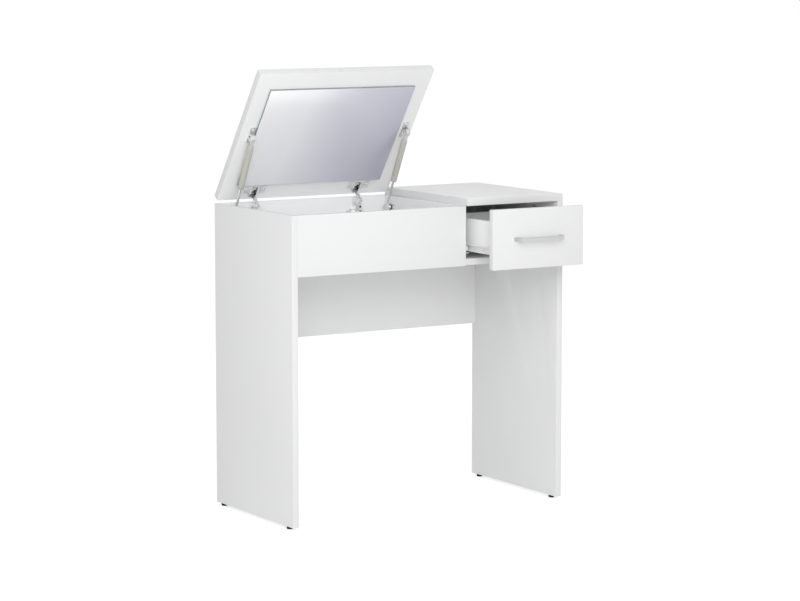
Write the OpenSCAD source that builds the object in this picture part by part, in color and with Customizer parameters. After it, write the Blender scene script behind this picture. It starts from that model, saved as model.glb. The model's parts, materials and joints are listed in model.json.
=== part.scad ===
// Flip top vanity table: a laminated case with a mirror under its lifting lid and a drawer at its right.
// Millimetres. +X is right, +Y is back, +Z is up. The floor is z = 0, and the origin is the middle of the
// floor area that the table covers with its drawer part open.
// The lid's and the drawer's pieces are drawn shut, and opened() and pulled() move them to where they rest.

/* [Case] */
// Overall width
table_w = 750; // [700:5:900]
// Depth of the case, front plane to back plane
table_d = 380; // [360:5:450]
// Height from the floor to the top of the shut lid
table_h = 750; // [700:5:800]
// Thickness of the case boards
board_t = 15; // [15:0.5:18]
// Thickness of the lid and of the fixed top
top_t = 18; // [18:0.5:22]
// Height of the front apron
apron_h = 142.5; // [135:0.5:180]
// Height of the back panel, down from the case top
back_panel_h = 338; // [200:1:500]
// Middle of the divider, from the left outer face
divider_at = 474.5; // [440:0.5:500]
// From the middle of the divider back to the end of the apron
apron_setback = 3; // [2:0.5:5]
// From the middle of the divider to the fixed top and to the drawer front
right_setback = 1.5; // [1:0.5:3]
// From the middle of the divider back to the end of the lid
lid_setback = 1; // [0.5:0.5:2]

/* [Feet] */
// Diameter of a glide
glide_d = 15; // [12:0.5:15]
// Height of a glide
glide_h = 6; // [3:0.5:10]
// Middle of a front glide, from the front plane
glide_front = 30; // [20:1:60]
// Middle of a rear glide, from the back plane
glide_rear = 26; // [20:1:60]
// Diameter of a glide's nail
glide_nail_d = 2; // [1.5:0.1:3]
// Length of a glide's nail in the board
glide_nail_l = 16; // [10:1:25]

/* [Lid and mirror] */
// Angle of the open lid, where the struts stop it
lid_open = 54.5; // [48:0.5:60]
// Width of the mirror
mirror_w = 395; // [300:1:396]
// Height of the mirror, along the lid
mirror_h = 289; // [200:1:290]
// Thickness of the mirror glass
mirror_t = 4; // [3:0.5:5]
// Thickness of the tape that holds the mirror
tape_t = 1; // [0.5:0.1:1.5]
// Width of one strip of tape
tape_w = 20; // [10:1:40]
// From the lid's back edge to the mirror
mirror_back = 45.5; // [45.5:0.5:60]
// Number of tape strips
tape_count = 4; // [2:1:6]

/* [Lid hinges] */
// From an end of the lid to the middle of a hinge
hinge_inset = 93.5; // [70:0.5:110]
// Diameter of a hinge cup
cup_d = 35; // [33:0.5:36]
// Depth of a hinge cup
cup_depth = 11.5; // [11:0.1:12.5]
// Wall of a hinge cup
cup_wall = 1; // [0.8:0.1:1.2]
// Middle of a cup, from the lid's back edge
cup_at = 21.7; // [21.5:0.1:22.5]
// Length of the flange on a cup
flange_l = 60; // [56:0.5:64]
// Width of the flange on a cup
flange_w = 21; // [19:0.5:23]
// Thickness of the flange
flange_t = 1.2; // [0.8:0.1:1.5]
// From the middle of a cup to its screw line
flange_offset = 7.5; // [7:0.5:8]
// Distance between the two cup screws
flange_screws = 48; // [45:0.5:52]
// Where a hinge link meets its cup, from the lid's back edge
link_in_cup = 9; // [8.8:0.1:9.5]
// How deep in the cup a hinge link ends
link_depth = 4; // [3.8:0.1:4.5]
// How far forward of its path a hinge link turns on the arm
link_reach = 33; // [32:0.5:33.5]
// Width of a hinge link
link_w = 7; // [6:0.5:8]
// Thickness of a hinge link
link_t = 3; // [2.6:0.1:3]
// Diameter of the pin in a hinge arm
link_pin_d = 2.5; // [2:0.1:3]
// Width of a hinge arm
arm_w = 12.7; // [12:0.1:15]
// Length of a hinge arm below the case top
arm_drop = 42; // [38:1:50]
// Reach of the lower part of a hinge arm, out from its plate
arm_reach = 13; // [12:0.5:15]
// Thickness of a mounting plate
plate_t = 3; // [2:0.5:4]
// Width of a mounting plate across its two wings
plate_w = 46; // [44:1:50]
// Height of a mounting plate's wings
wing_h = 15; // [12:1:18]
// Distance between the two screws of a mounting plate
plate_screws = 32; // [30:0.5:36]
// Metal around the pin in a link's hub
hub_wall = 1; // [0.8:0.1:1]
// Metal around that hub in the arm's nose
nose_wall = 0.9; // [0.7:0.1:1]
// From the pin down to where the arm's nose begins to stand out
nose_drop = 14; // [13:0.5:16]
// From the pin down to the front of the nose
nose_chin = 4; // [3:0.5:5]
// From the pin down to the top of the arm's back
arm_back_drop = 11; // [10.5:0.5:13]
// Bevels at the arm's foot and at the top of its back
arm_bevel = 3; // [2:0.5:4]

/* [Lid struts] */
// From a side wall to the middle line of a strut
strut_gap = 14; // [13:0.5:15]
// Lid joint of a strut, from the lid's back edge
strut_on_lid = 199.3; // [190:0.1:205]
// Lid joint of a strut, down from the lid's underside
strut_drop = 13.4; // [12.5:0.1:14]
// Case joint of a strut, from the back plane
strut_back = 45.5; // [42:0.5:48]
// Case joint of a strut, down from the case top
strut_low = 27.6; // [26:0.1:30]
// Diameter of a strut's cylinder
cylinder_d = 15; // [14:0.5:15.5]
// Wall of the cylinder
cylinder_wall = 1.2; // [1:0.1:1.5]
// Length of the cylinder
cylinder_l = 118; // [112:0.5:119]
// From the lid joint to the cylinder
cylinder_start = 20; // [19:0.5:22]
// Diameter of a strut's rod
rod_d = 6; // [5:0.5:7]
// Diameter of a strut's piston
piston_d = 12; // [10:0.5:12.4]
// Thickness of a strut's piston
piston_t = 6; // [4:0.5:8]
// Diameter of the eye at each end of a strut
eye_d = 16; // [15:0.5:18]
// Length of a strut's foot, from its eye's middle to its rod
foot_l = 14; // [12:0.5:15]
// Length of the gland at a cylinder's end
gland_l = 8; // [6:0.5:10]
// Thickness of an eye
eye_t = 8; // [7:0.5:9]
// Diameter of a strut's ball
ball_d = 8; // [7:0.5:9]
// Diameter of the stud behind a ball
stud_d = 4.5; // [4:0.5:5]
// Thickness of a strut bracket
bracket_t = 2; // [1.5:0.1:2.5]
// Length of a bracket on the lid
lid_bracket_l = 44; // [40:1:50]
// Width of a bracket on the lid
lid_bracket_w = 15; // [14:0.5:15.5]
// Length of a bracket on the case
case_bracket_l = 40; // [36:1:46]
// Height of a bracket on the case
case_bracket_h = 18; // [16:0.5:22]

/* [Drawer] */
// How far the drawer stands open
drawer_out = 110; // [0:1:170]
// Height of the drawer front
drawer_front_h = 142; // [130:0.5:175]
// Gap above the drawer front
drawer_gap = 1.5; // [1:0.5:3]
// Gap between the drawer front and the right side panel
drawer_side_gap = 2; // [1:0.5:3]
// Thickness of the drawer's sides and back
drawer_t = 12; // [11:0.5:14]
// Height of the drawer's sides
drawer_side_h = 77; // [65:1:84]
// Length of the drawer box behind its front
drawer_l = 255; // [253:1:270]
// Bottom edge of the drawer box, above the bottom board
drawer_lift = 18; // [16.5:0.5:22]
// Gap beside the drawer box, for a slide
slide_gap = 12.5; // [12.5:0.1:13.5]
// Thickness of the drawer bottom
drawer_bottom_t = 3; // [2.5:0.5:4]
// Depth of the groove for the drawer bottom
groove = 5; // [4:0.5:6]
// Height of that groove above the lower edge
groove_up = 12; // [11.5:0.5:14]
// Diameter of a drawer dowel
drawer_dowel_d = 6; // [5:0.5:6]
// Length of a drawer dowel in a board's face
drawer_dowel_face = 8; // [6:0.5:9]
// From an edge of a drawer board to a dowel
drawer_joint_in = 12; // [10:1:15]

/* [Drawer slides] */
// Length of a slide member
slide_l = 250; // [240:1:252]
// Sheet thickness of a slide member
slide_t = 1.2; // [1:0.1:1.4]
// Height of the drawer member
slide_h = 17; // [16:0.5:18]
// Height of the channel in the case member
channel_h = 18; // [17.5:0.1:18.5]
// Width of the channel's lips
channel_w = 10.2; // [9.5:0.1:10.4]
// Diameter of a roller
roller_d = 17; // [16.5:0.1:17.4]
// Width of a roller
roller_w = 7; // [6:0.5:7.5]
// Diameter of a roller's pin
roller_pin_d = 4; // [3:0.5:5]
// From a slide member's end to a roller's rim
roller_edge = 2; // [1.5:0.5:3]
// From the front roller to the channel behind it
channel_gap = 4; // [3:0.5:6]
// From the drawer box's lower edge down to the channel
channel_drop = 5; // [4.5:0.1:5.5]
// From the apron's inner plane to a case member
slide_setback = 2; // [1:0.5:3]
// From the drawer front to a drawer member
drawer_slide_setback = 1; // [0.5:0.5:2]

/* [Handle] */
// Distance between the handle's two screws
handle_centres = 128; // [96:1:160]
// Length of the handle over its feet
handle_l = 138; // [134:1:180]
// Length of the handle's front bar
handle_front_l = 118; // [90:1:125]
// How far the handle stands out
handle_reach = 22; // [18:0.5:30]
// Height of the handle
handle_h = 8.5; // [8:0.5:14]
// Thickness of the handle's bar
handle_t = 5; // [4:0.5:6]
// Diameter of a handle screw
handle_screw_d = 4; // [3:0.5:4]
// Length of a handle screw in the handle
handle_screw_in = 5; // [4:0.5:5]
// Diameter of a handle screw's head
handle_head_d = 8; // [7:0.5:9]
// Height of a handle screw's head
handle_head_h = 2.5; // [2:0.1:3]

/* [Fittings] */
// From the end of a joint to its first dowel
joint_in = 55; // [45:1:65]
// From a dowel to the cam bolt beside it
cam_step = 32; // [28:1:40]
// Diameter of a dowel
dowel_d = 8; // [6:0.5:8]
// Length of a dowel in a board's face
dowel_face = 10; // [8:0.5:11]
// Length of a dowel in a board's edge
dowel_edge = 20; // [15:1:25]
// Diameter of a cam
cam_d = 15; // [12:0.5:15]
// Depth of a cam in its board
cam_depth = 12; // [11:0.5:13]
// Width and depth of the slot in a cam
cam_slot = 1.5; // [1:0.1:2]
// From a board's edge to the middle of its cam
cam_in = 24; // [20:1:34]
// Diameter of a cam bolt
cam_bolt_d = 6; // [5:0.5:7]
// Length of a cam bolt's thread in the other board
cam_thread = 10; // [8:0.5:11]
// From the end of a cam bolt to the middle of its cam
cam_bolt_gap = 2; // [1:0.5:4]
// Diameter of a small screw's shank
screw_d = 3; // [2.5:0.1:3.5]
// Diameter of a small screw's head
head_d = 6.5; // [6:0.1:7]
// Height of a small screw's head
head_h = 1.8; // [1.2:0.1:2]
// Length of a small screw in a board
screw_l = 12; // [10:0.5:12.5]
// Leg of the angles that hold the fixed top
angle_leg = 20; // [18:0.5:22]
// Length of one of those angles
angle_l = 30; // [20:1:40]

/* [Clearances] */
// Between a fitting and its bore, and between a pin and what turns on it
fit = 0.05; // [0.02:0.01:0.08]
// Between pieces that pass each other closely
near = 0.3; // [0.3:0.05:0.4]

/* [Hidden] */
$fn = 48;

laminate = "white";
steel = "silver";
nylon = "whitesmoke";
sides = [-1, 1];

// Planes of the case
left_x = -table_w / 2;
right_x = table_w / 2;
front_y = (drawer_out + handle_reach - table_d) / 2;
back_y = front_y + table_d;
in_front = front_y + board_t;
in_back = back_y - board_t;
in_left = left_x + board_t;
in_right = right_x - board_t;
div_x = left_x + divider_at;
div_left = div_x - board_t / 2;
div_right = div_x + board_t / 2;
case_top = table_h - top_t;
apron_low = case_top - apron_h;
floor_top = apron_low + board_t;
back_low = case_top - back_panel_h;
apron_end = div_x - apron_setback;
lid_end = div_x - lid_setback;
top_start = div_x + right_setback;

// The inner walls of the lid compartment and of the drawer's bay
bay_walls = [in_left, div_left];
walls = [div_right, in_right];

// The lid turns about its top back edge: a point p = [y, z] of the shut lid, turned to the open angle
function turned(p) = [
    back_y + (p[0] - back_y) * cos(lid_open) + (p[1] - table_h) * sin(lid_open),
    table_h - (p[0] - back_y) * sin(lid_open) + (p[1] - table_h) * cos(lid_open)
];

// The way of v = [y, z], as an angle up from +Y
function tilt(v) = atan2(v[1], v[0]);

// Lid fittings
hinge_xs = [left_x + hinge_inset, lid_end - hinge_inset];
flange_y = back_y - cup_at - flange_offset;
mirror_x = (left_x + lid_end) / 2;
mirror_end = back_y - mirror_back;

// Struts, in the Y-Z plane, from the lid joint down to the case joint
strut_xs = [in_left + strut_gap, div_left - strut_gap];
strut_case = [back_y - strut_back, case_top - strut_low];
strut_shut = [back_y - strut_on_lid, case_top - strut_drop];
strut_lid = turned(strut_shut);
strut_len = norm(strut_case - strut_lid);
strut_tilt = tilt(strut_case - strut_lid);
cylinder_end = cylinder_start + cylinder_l;
piston_start = cylinder_end - gland_l - near - piston_t;
boss_l = strut_gap - eye_t / 2 - near;
tab_start = boss_l - bracket_t;
bracket_edge = 6;
neck_r = eye_t / 2 - 0.5;
boss_r = ball_d / 2 + hub_wall;

// Hinge links, in the Y-Z plane, from the arm's pin up into the cup
link_shut = [back_y - link_in_cup, case_top + link_depth];
link_up = turned(link_shut);
link_chord = link_up - link_shut;
arm_pin = (link_shut + link_up) / 2 + link_reach * [-link_chord[1], link_chord[0]] / norm(link_chord);
link_len = norm(link_up - arm_pin);
link_tilt = tilt(link_up - arm_pin);
link_hub = link_t / 2 + hub_wall;
plate_z = case_top - arm_drop + wing_h / 2;
nose_r = link_hub + nose_wall;
arm_back_top = arm_pin[1] - arm_back_drop;
arm_back = in_back - plate_t;

// Drawer
drawer_front_l = top_start;
drawer_front_r = in_right - drawer_side_gap;
drawer_front_top = case_top - drawer_gap;
drawer_faces = [div_right + slide_gap, in_right - slide_gap];
drawer_low = floor_top + drawer_lift;
drawer_high = drawer_low + drawer_side_h;
drawer_end = in_front + drawer_l;
drawer_bottom_z = drawer_low + groove_up;
drawer_inner = [drawer_faces[0] + drawer_t, drawer_faces[1] - drawer_t];
handle_x = (drawer_front_l + drawer_front_r) / 2;
handle_z = drawer_front_top - drawer_front_h / 2;

// Slides: the drawer member's lip runs on the front roller, and the rear roller runs in the channel
slide_start = in_front + slide_setback;
drawer_slide_start = in_front + drawer_slide_setback;
lip_z = drawer_low + slide_h - slide_t;
channel_low = drawer_low - channel_drop;
channel_top = channel_low + slide_t + channel_h;
roller_inset = roller_d / 2 + roller_edge;
front_roller = [slide_start + roller_inset, lip_z - fit - roller_d / 2];
rear_roller = [drawer_slide_start + slide_l - roller_inset, channel_low + slide_t + fit + roller_d / 2];
front_roller_x = slide_t + near;
rear_roller_x = slide_gap - slide_t - near - roller_w;

// Dowels: a point on the plane where two boards meet, and the way into the edge that is bored
board_mid = apron_low + board_t / 2;
back_mid = back_y - board_t / 2;
quarters = [0.25, 0.75];
case_slide_screws = [0.28, 0.85];
drawer_slide_screws = [0.2, 0.8];
top_rows = [in_front + joint_in, in_back - joint_in];
function ends(y, z) = [[[in_left, y, z], [1, 0, 0]], [[in_right, y, z], [-1, 0, 0]]];
dowels = concat(
    ends(in_front + joint_in, board_mid),
    ends(in_back - joint_in, board_mid),
    ends(back_mid, back_low + joint_in),
    ends(back_mid, case_top - joint_in),
    [for (f = quarters) [[in_left, front_y + board_t / 2, apron_low + f * apron_h], [1, 0, 0]]],
    [for (x = [in_left + joint_in, div_left - joint_in]) [[x, in_front, board_mid], [0, 1, 0]]],
    [for (x = [in_left + joint_in, div_left - joint_in, in_right - joint_in])
        [[x, in_back, board_mid], [0, -1, 0]]],
    [for (y = top_rows) [[div_x, y, floor_top], [0, 0, 1]]],
    [for (f = quarters) [[div_right + f * (in_right - div_right), back_mid, case_top], [0, 0, -1]]],
    [for (y = top_rows) [[right_x - board_t / 2, y, case_top], [0, 0, -1]]]
);

// Cam bolts are placed the same way, and c is the way out of the face that the cam is let into
function with_cam(list, c) = [for (j = list) [j[0], j[1], c]];
cams = concat(
    with_cam(ends(in_front + joint_in + cam_step, board_mid), [0, 0, -1]),
    with_cam(ends(in_back - joint_in - cam_step, board_mid), [0, 0, -1]),
    with_cam(ends(back_mid, back_low + joint_in + cam_step), [0, 1, 0]),
    with_cam(ends(back_mid, case_top - joint_in - cam_step), [0, 1, 0]),
    with_cam([for (s = [0, 1])
        [[right_x - board_t / 2, top_rows[s] + (1 - 2 * s) * cam_step, case_top], [0, 0, -1]]], [-1, 0, 0])
);

drawer_dowels = concat(
    [for (i = [0, 1], z = [drawer_bottom_z + drawer_joint_in, drawer_high - drawer_joint_in])
        [[(drawer_faces[i] + drawer_inner[i]) / 2, in_front, z], [0, 1, 0]]],
    [for (i = [0, 1], z = [drawer_bottom_z + drawer_joint_in, drawer_high - drawer_joint_in])
        [[drawer_inner[i], drawer_end - drawer_t / 2, z], [1 - 2 * i, 0, 0]]]
);

// Screws: a point under the head, and the way that the head points
case_screw_list = concat(
    [for (x = hinge_xs, s = sides) [[x + s * plate_screws / 2, in_back - plate_t, plate_z], [0, -1, 0]]],
    [for (i = [0, 1], s = sides)
        [[bay_walls[i] + (1 - 2 * i) * bracket_t, strut_case[0] + s * (case_bracket_l / 2 - bracket_edge),
            strut_case[1]], [1 - 2 * i, 0, 0]]],
    [for (i = [0, 1], f = case_slide_screws)
        [[walls[i] + (1 - 2 * i) * slide_t, slide_start + f * slide_l, channel_low + channel_h / 2],
            [1 - 2 * i, 0, 0]]],
    [for (y = top_rows) [[div_right + slide_t, y, case_top - angle_leg / 2], [1, 0, 0]]],
    [for (y = top_rows) [[div_right + angle_leg / 2, y, case_top - slide_t], [0, 0, -1]]]
);
lid_bracket_x = [
    bay_walls[0] + tab_start + lid_bracket_w / 2,
    bay_walls[1] - tab_start - lid_bracket_w / 2
];
lid_screw_list = concat(
    [for (x = hinge_xs, s = sides) [[x + s * flange_screws / 2, flange_y, case_top - flange_t], [0, 0, -1]]],
    [for (x = lid_bracket_x, s = sides)
        [[x, strut_shut[0] + s * (lid_bracket_l / 2 - bracket_edge), case_top - bracket_t], [0, 0, -1]]]
);
drawer_screw_list = [for (i = [0, 1], f = drawer_slide_screws)
    [[drawer_faces[i] - (1 - 2 * i) * slide_t, drawer_slide_start + f * slide_l, drawer_low + slide_h / 2],
        [2 * i - 1, 0, 0]]];

// Turns +Z to the direction d and carries it to p
module along(p, d) {
    translate(p) rotate([0, acos(d[2]), atan2(d[1], d[0])]) children();
}

// Moves the shut lid's pieces to the open angle
module opened() {
    translate([0, back_y, table_h]) rotate([-lid_open, 0, 0]) translate([0, -back_y, -table_h]) children();
}

// Moves the shut drawer's pieces to where it stands open
module pulled() {
    translate([0, -drawer_out, 0]) children();
}

// Lets x run inwards from a wall: i is 0 for a left wall and 1 for a right one
module from_wall(x, i) {
    translate([x, 0, 0]) mirror([i, 0, 0]) children();
}

// A block between two corners
module block(a, b) {
    translate(a) cube(b - a);
}

// Rods of radius r from a to b, upright, across and to the back
module rod(r, a, b) {
    translate([0, 0, a]) cylinder(r = r, h = b - a);
}

module cross_rod(r, a, b) {
    rotate([0, 90, 0]) rod(r, a, b);
}

module long_rod(r, a, b) {
    rotate([-90, 0, 0]) rod(r, a, b);
}

// Bores for a list of dowels, a little longer than the dowels
module dowel_bores(list, d, face) {
    for (j = list) along(j[0], j[1]) rod(d / 2 + fit, -face - near, dowel_edge + near);
}

module dowels_in(list, d, face) {
    for (j = list) along(j[0], j[1]) rod(d / 2, -face, dowel_edge);
}

// Bores for the cams and their bolts
module cam_bores() {
    for (j = cams) {
        along(j[0], j[1]) rod(cam_bolt_d / 2 + fit, -cam_thread - near, cam_in);
        along(j[0] + cam_in * j[1], j[2])
            rod(cam_d / 2 + fit, board_t / 2 - cam_depth - near, board_t / 2 + 1);
    }
}

// Pilot bores for a list of screws, and the screws
module screw_bores(list) {
    for (s = list) along(s[0], s[1]) rod(screw_d / 2 + fit, -screw_l - near, head_h);
}

module screws(list) {
    for (s = list) along(s[0], s[1]) {
        rod(screw_d / 2, -screw_l, 0);
        rod(head_d / 2, 0, head_h);
    }
}

// One board of the case, with the bores that reach into it
module board(a, b) {
    color(laminate) difference() {
        block(a, b);
        dowel_bores(dowels, dowel_d, dowel_face);
        cam_bores();
        screw_bores(case_screw_list);
    }
}

// A side panel stands on its two glides
module side_panel(x) {
    difference() {
        board([x, front_y, glide_h], [x + board_t, back_y, case_top]);
        for (y = [front_y + glide_front, back_y - glide_rear])
            translate([x + board_t / 2, y, 0]) rod(glide_nail_d / 2 + fit, 0, glide_h + glide_nail_l + near);
    }
}

module left_side_panel() {
    side_panel(left_x);
}

module right_side_panel() {
    side_panel(in_right);
}

module back_panel() {
    board([in_left, in_back, back_low], [in_right, back_y, case_top]);
}

module front_apron() {
    board([in_left, front_y, apron_low], [apron_end, in_front, case_top]);
}

module bottom_board() {
    board([in_left, in_front, apron_low], [in_right, in_back, floor_top]);
}

module divider_panel() {
    board([div_left, in_front, floor_top], [div_right, in_back, case_top]);
}

module fixed_top() {
    board([top_start, front_y, case_top], [right_x, back_y, table_h]);
}

// One glide: a disc on a nail
module glide(x, y) {
    color("dimgray") translate([x, y, 0]) {
        rod(glide_d / 2, 0, glide_h);
        rod(glide_nail_d / 2, glide_h, glide_h + glide_nail_l);
    }
}

module glide_front_left() {
    glide(left_x + board_t / 2, front_y + glide_front);
}

module glide_front_right() {
    glide(right_x - board_t / 2, front_y + glide_front);
}

module glide_rear_left() {
    glide(left_x + board_t / 2, back_y - glide_rear);
}

module glide_rear_right() {
    glide(right_x - board_t / 2, back_y - glide_rear);
}

module wood_dowels() {
    color("burlywood") dowels_in(dowels, dowel_d, dowel_face);
}

// Cams, each with a slot for a screwdriver and a bore that its bolt enters
module cam_locks() {
    color(steel) for (j = cams) difference() {
        along(j[0] + cam_in * j[1], j[2]) difference() {
            rod(cam_d / 2, board_t / 2 - cam_depth, board_t / 2 - near);
            translate([0, 0, board_t / 2]) cube([cam_d / 2, cam_slot, 2 * cam_slot], center = true);
        }
        along(j[0], j[1]) rod(cam_bolt_d / 2 + fit, 0, cam_in);
    }
}

module cam_bolts() {
    color(steel) for (j = cams) along(j[0], j[1]) rod(cam_bolt_d / 2, -cam_thread, cam_in - cam_bolt_gap);
}

// Steel angles between the divider and the fixed top
module top_angles() {
    color(steel) for (y = top_rows) difference() {
        translate([div_right, 0, 0]) {
            block([0, y - angle_l / 2, case_top - angle_leg], [slide_t, y + angle_l / 2, case_top]);
            block([slide_t, y - angle_l / 2, case_top - slide_t], [angle_leg, y + angle_l / 2, case_top]);
        }
        screw_bores(case_screw_list);
    }
}

// Mounting plate of a hinge: two wings with screws, and a bridge behind the arm
module hinge_plate(x) {
    wing = (plate_w - wing_h) / 2;
    color(steel) difference() {
        translate([x, in_back, plate_z]) {
            block([-wing, -plate_t, -wing_h / 2], [wing, 0, wing_h / 2]);
            block([-arm_w / 2, -plate_t, 0], [arm_w / 2, 0, arm_back_top - plate_z]);
            for (s = sides) translate([s * wing, 0, 0]) long_rod(wing_h / 2, -plate_t, 0);
        }
        screw_bores(case_screw_list);
    }
}

module hinge_plate_left() {
    hinge_plate(hinge_xs[0]);
}

module hinge_plate_right() {
    hinge_plate(hinge_xs[1]);
}

// Hinge arm: a low bridge that rises forward to a nose around the link's pin, slotted for the link
module hinge_arm(x) {
    front = arm_back - arm_reach;
    outline = [
        [arm_back, case_top - arm_drop],
        [front + arm_bevel, case_top - arm_drop],
        [front, case_top - arm_drop + arm_bevel],
        [front, arm_pin[1] - nose_drop],
        [arm_pin[0] - nose_r, arm_pin[1] - nose_chin],
        [arm_pin[0] - nose_r, arm_pin[1]],
        [arm_pin[0] + nose_r, arm_pin[1]],
        [arm_back - arm_bevel, arm_back_top + arm_bevel],
        [arm_back, arm_back_top]
    ];
    color(steel) translate([x, 0, 0]) difference() {
        union() {
            translate([-arm_w / 2, 0, 0]) rotate([90, 0, 90]) linear_extrude(arm_w) polygon(outline);
            translate([0, arm_pin[0], arm_pin[1]]) cross_rod(nose_r, -arm_w / 2, arm_w / 2);
        }
        block([-link_w / 2 - near, arm_pin[0] - nose_r - 1, arm_pin[1] - link_hub - near],
            [link_w / 2 + near, arm_back - 1, case_top]);
        translate([0, arm_pin[0], arm_pin[1]]) cross_rod(link_pin_d / 2 + fit, -arm_w, arm_w);
        // Recess over the screw that holds the arm on its plate
        translate([0, front, plate_z]) long_rod(head_d / 2, -1, head_h);
    }
}

module hinge_arm_left() {
    hinge_arm(hinge_xs[0]);
}

module hinge_arm_right() {
    hinge_arm(hinge_xs[1]);
}

module hinge_pins() {
    color(steel) for (x = hinge_xs) translate([x, arm_pin[0], arm_pin[1]])
        cross_rod(link_pin_d / 2, -arm_w / 2, arm_w / 2);
}

// A link from the arm's pin up into the cup
module hinge_link(x) {
    color(steel) translate([x, arm_pin[0], arm_pin[1]]) rotate([link_tilt, 0, 0]) difference() {
        union() {
            cross_rod(link_hub, -link_w / 2, link_w / 2);
            block([-link_w / 2, 0, -link_t / 2], [link_w / 2, link_len, link_t / 2]);
            translate([0, link_len, 0]) cross_rod(link_t / 2, -link_w / 2, link_w / 2);
        }
        cross_rod(link_pin_d / 2 + fit, -link_w, link_w);
    }
}

module hinge_link_left() {
    hinge_link(hinge_xs[0]);
}

module hinge_link_right() {
    hinge_link(hinge_xs[1]);
}

// Bracket on the case: a plate, and a boss that the strut's foot turns against
module case_bracket(i) {
    end = (case_bracket_l - case_bracket_h) / 2;
    color(steel) difference() {
        from_wall(bay_walls[i], i) translate([0, strut_case[0], strut_case[1]]) {
            block([0, -end, -case_bracket_h / 2], [bracket_t, end, case_bracket_h / 2]);
            for (s = sides) translate([0, s * end, 0]) cross_rod(case_bracket_h / 2, 0, bracket_t);
            cross_rod(boss_r, 0, boss_l);
        }
        screw_bores(case_screw_list);
    }
}

module case_bracket_left() {
    case_bracket(0);
}

module case_bracket_right() {
    case_bracket(1);
}

// Case member of a slide: a channel for the rear roller, and the pin of the front roller
module case_slide(i) {
    end = slide_start + slide_l;
    channel_start = slide_start + roller_inset + roller_d / 2 + channel_gap;
    color(laminate) difference() {
        from_wall(walls[i], i) {
            block([0, slide_start, channel_low], [slide_t, end, channel_top + slide_t]);
            block([0, slide_start, channel_low], [channel_w, end, channel_low + slide_t]);
            block([0, channel_start, channel_top], [channel_w, end, channel_top + slide_t]);
            translate([0, front_roller[0], front_roller[1]])
                cross_rod(roller_pin_d / 2, 0, front_roller_x + roller_w + near);
        }
        screw_bores(case_screw_list);
    }
}

module case_slide_left() {
    case_slide(0);
}

module case_slide_right() {
    case_slide(1);
}

module case_screws() {
    color(steel) screws(case_screw_list);
}

// A roller from x = start to start + roller_w, in from a wall
module roller(i, start, place) {
    color(nylon) from_wall(walls[i], i) translate([0, place[0], place[1]]) difference() {
        cross_rod(roller_d / 2, start, start + roller_w);
        cross_rod(roller_pin_d / 2 + fit, start - 1, start + roller_w + 1);
    }
}

module front_roller_left() {
    roller(0, front_roller_x, front_roller);
}

module front_roller_right() {
    roller(1, front_roller_x, front_roller);
}

module lid_panel() {
    color(laminate) opened() difference() {
        block([left_x, front_y, case_top], [lid_end, back_y, table_h]);
        for (x = hinge_xs) translate([x, back_y - cup_at, case_top])
            rod(cup_d / 2 + fit, -1, cup_depth + near);
        screw_bores(lid_screw_list);
    }
}

module mirror_glass() {
    color("lightsteelblue") opened() block(
        [mirror_x - mirror_w / 2, mirror_end - mirror_h, case_top - tape_t - mirror_t],
        [mirror_x + mirror_w / 2, mirror_end, case_top - tape_t]);
}

// Strips of tape between the lid and the mirror
module mirror_tape() {
    pitch = mirror_h / tape_count;
    half_l = mirror_w / 2 - tape_w / 2;
    color("white") opened() for (k = [0 : tape_count - 1])
        translate([mirror_x, mirror_end - (k + 0.5) * pitch, case_top - tape_t])
            block([-half_l, -tape_w / 2, 0], [half_l, tape_w / 2, tape_t]);
}

// Hinge cup: a pot let into the lid, with a flange that is screwed to the lid's underside
module hinge_cup(x) {
    color(steel) opened() difference() {
        union() {
            translate([x, back_y - cup_at, case_top]) rod(cup_d / 2, 0, cup_depth);
            translate([x, flange_y, case_top])
                block([-flange_l / 2, -flange_w / 2, -flange_t], [flange_l / 2, flange_w / 2, 0]);
        }
        translate([x, back_y - cup_at, case_top])
            rod(cup_d / 2 - cup_wall, -flange_t - 1, cup_depth - cup_wall);
        screw_bores(lid_screw_list);
    }
}

module hinge_cup_left() {
    hinge_cup(hinge_xs[0]);
}

module hinge_cup_right() {
    hinge_cup(hinge_xs[1]);
}

// Bracket on the lid: a plate, a tab that stands off it, and a ball on a stud
module lid_bracket(i) {
    color(steel) opened() difference() {
        from_wall(bay_walls[i], i) translate([0, strut_shut[0], 0]) {
            block([tab_start, -lid_bracket_l / 2, case_top - bracket_t],
                [tab_start + lid_bracket_w, lid_bracket_l / 2, case_top]);
            block([tab_start, -eye_d / 2, strut_shut[1]], [boss_l, eye_d / 2, case_top]);
            translate([0, 0, strut_shut[1]]) {
                cross_rod(eye_d / 2, tab_start, boss_l);
                cross_rod(stud_d / 2, tab_start, strut_gap);
                translate([strut_gap, 0, 0]) sphere(d = ball_d);
            }
        }
        screw_bores(lid_screw_list);
    }
}

module lid_bracket_left() {
    lid_bracket(0);
}

module lid_bracket_right() {
    lid_bracket(1);
}

module lid_screws() {
    color(steel) opened() screws(lid_screw_list);
}

// Sets a strut's pieces, drawn along +Y from the lid joint, where the strut stands with the lid open
module on_strut(i) {
    translate([strut_xs[i], strut_lid[0], strut_lid[1]]) rotate([strut_tilt, 0, 0]) children();
}

module strut_cylinder(i) {
    color("gray") on_strut(i) difference() {
        long_rod(cylinder_d / 2, cylinder_start, cylinder_end);
        long_rod(cylinder_d / 2 - cylinder_wall, cylinder_start + gland_l / 2, cylinder_end - gland_l);
        long_rod(rod_d / 2 + fit, cylinder_start + gland_l, cylinder_end + 1);
    }
}

module strut_cylinder_left() {
    strut_cylinder(0);
}

module strut_cylinder_right() {
    strut_cylinder(1);
}

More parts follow.
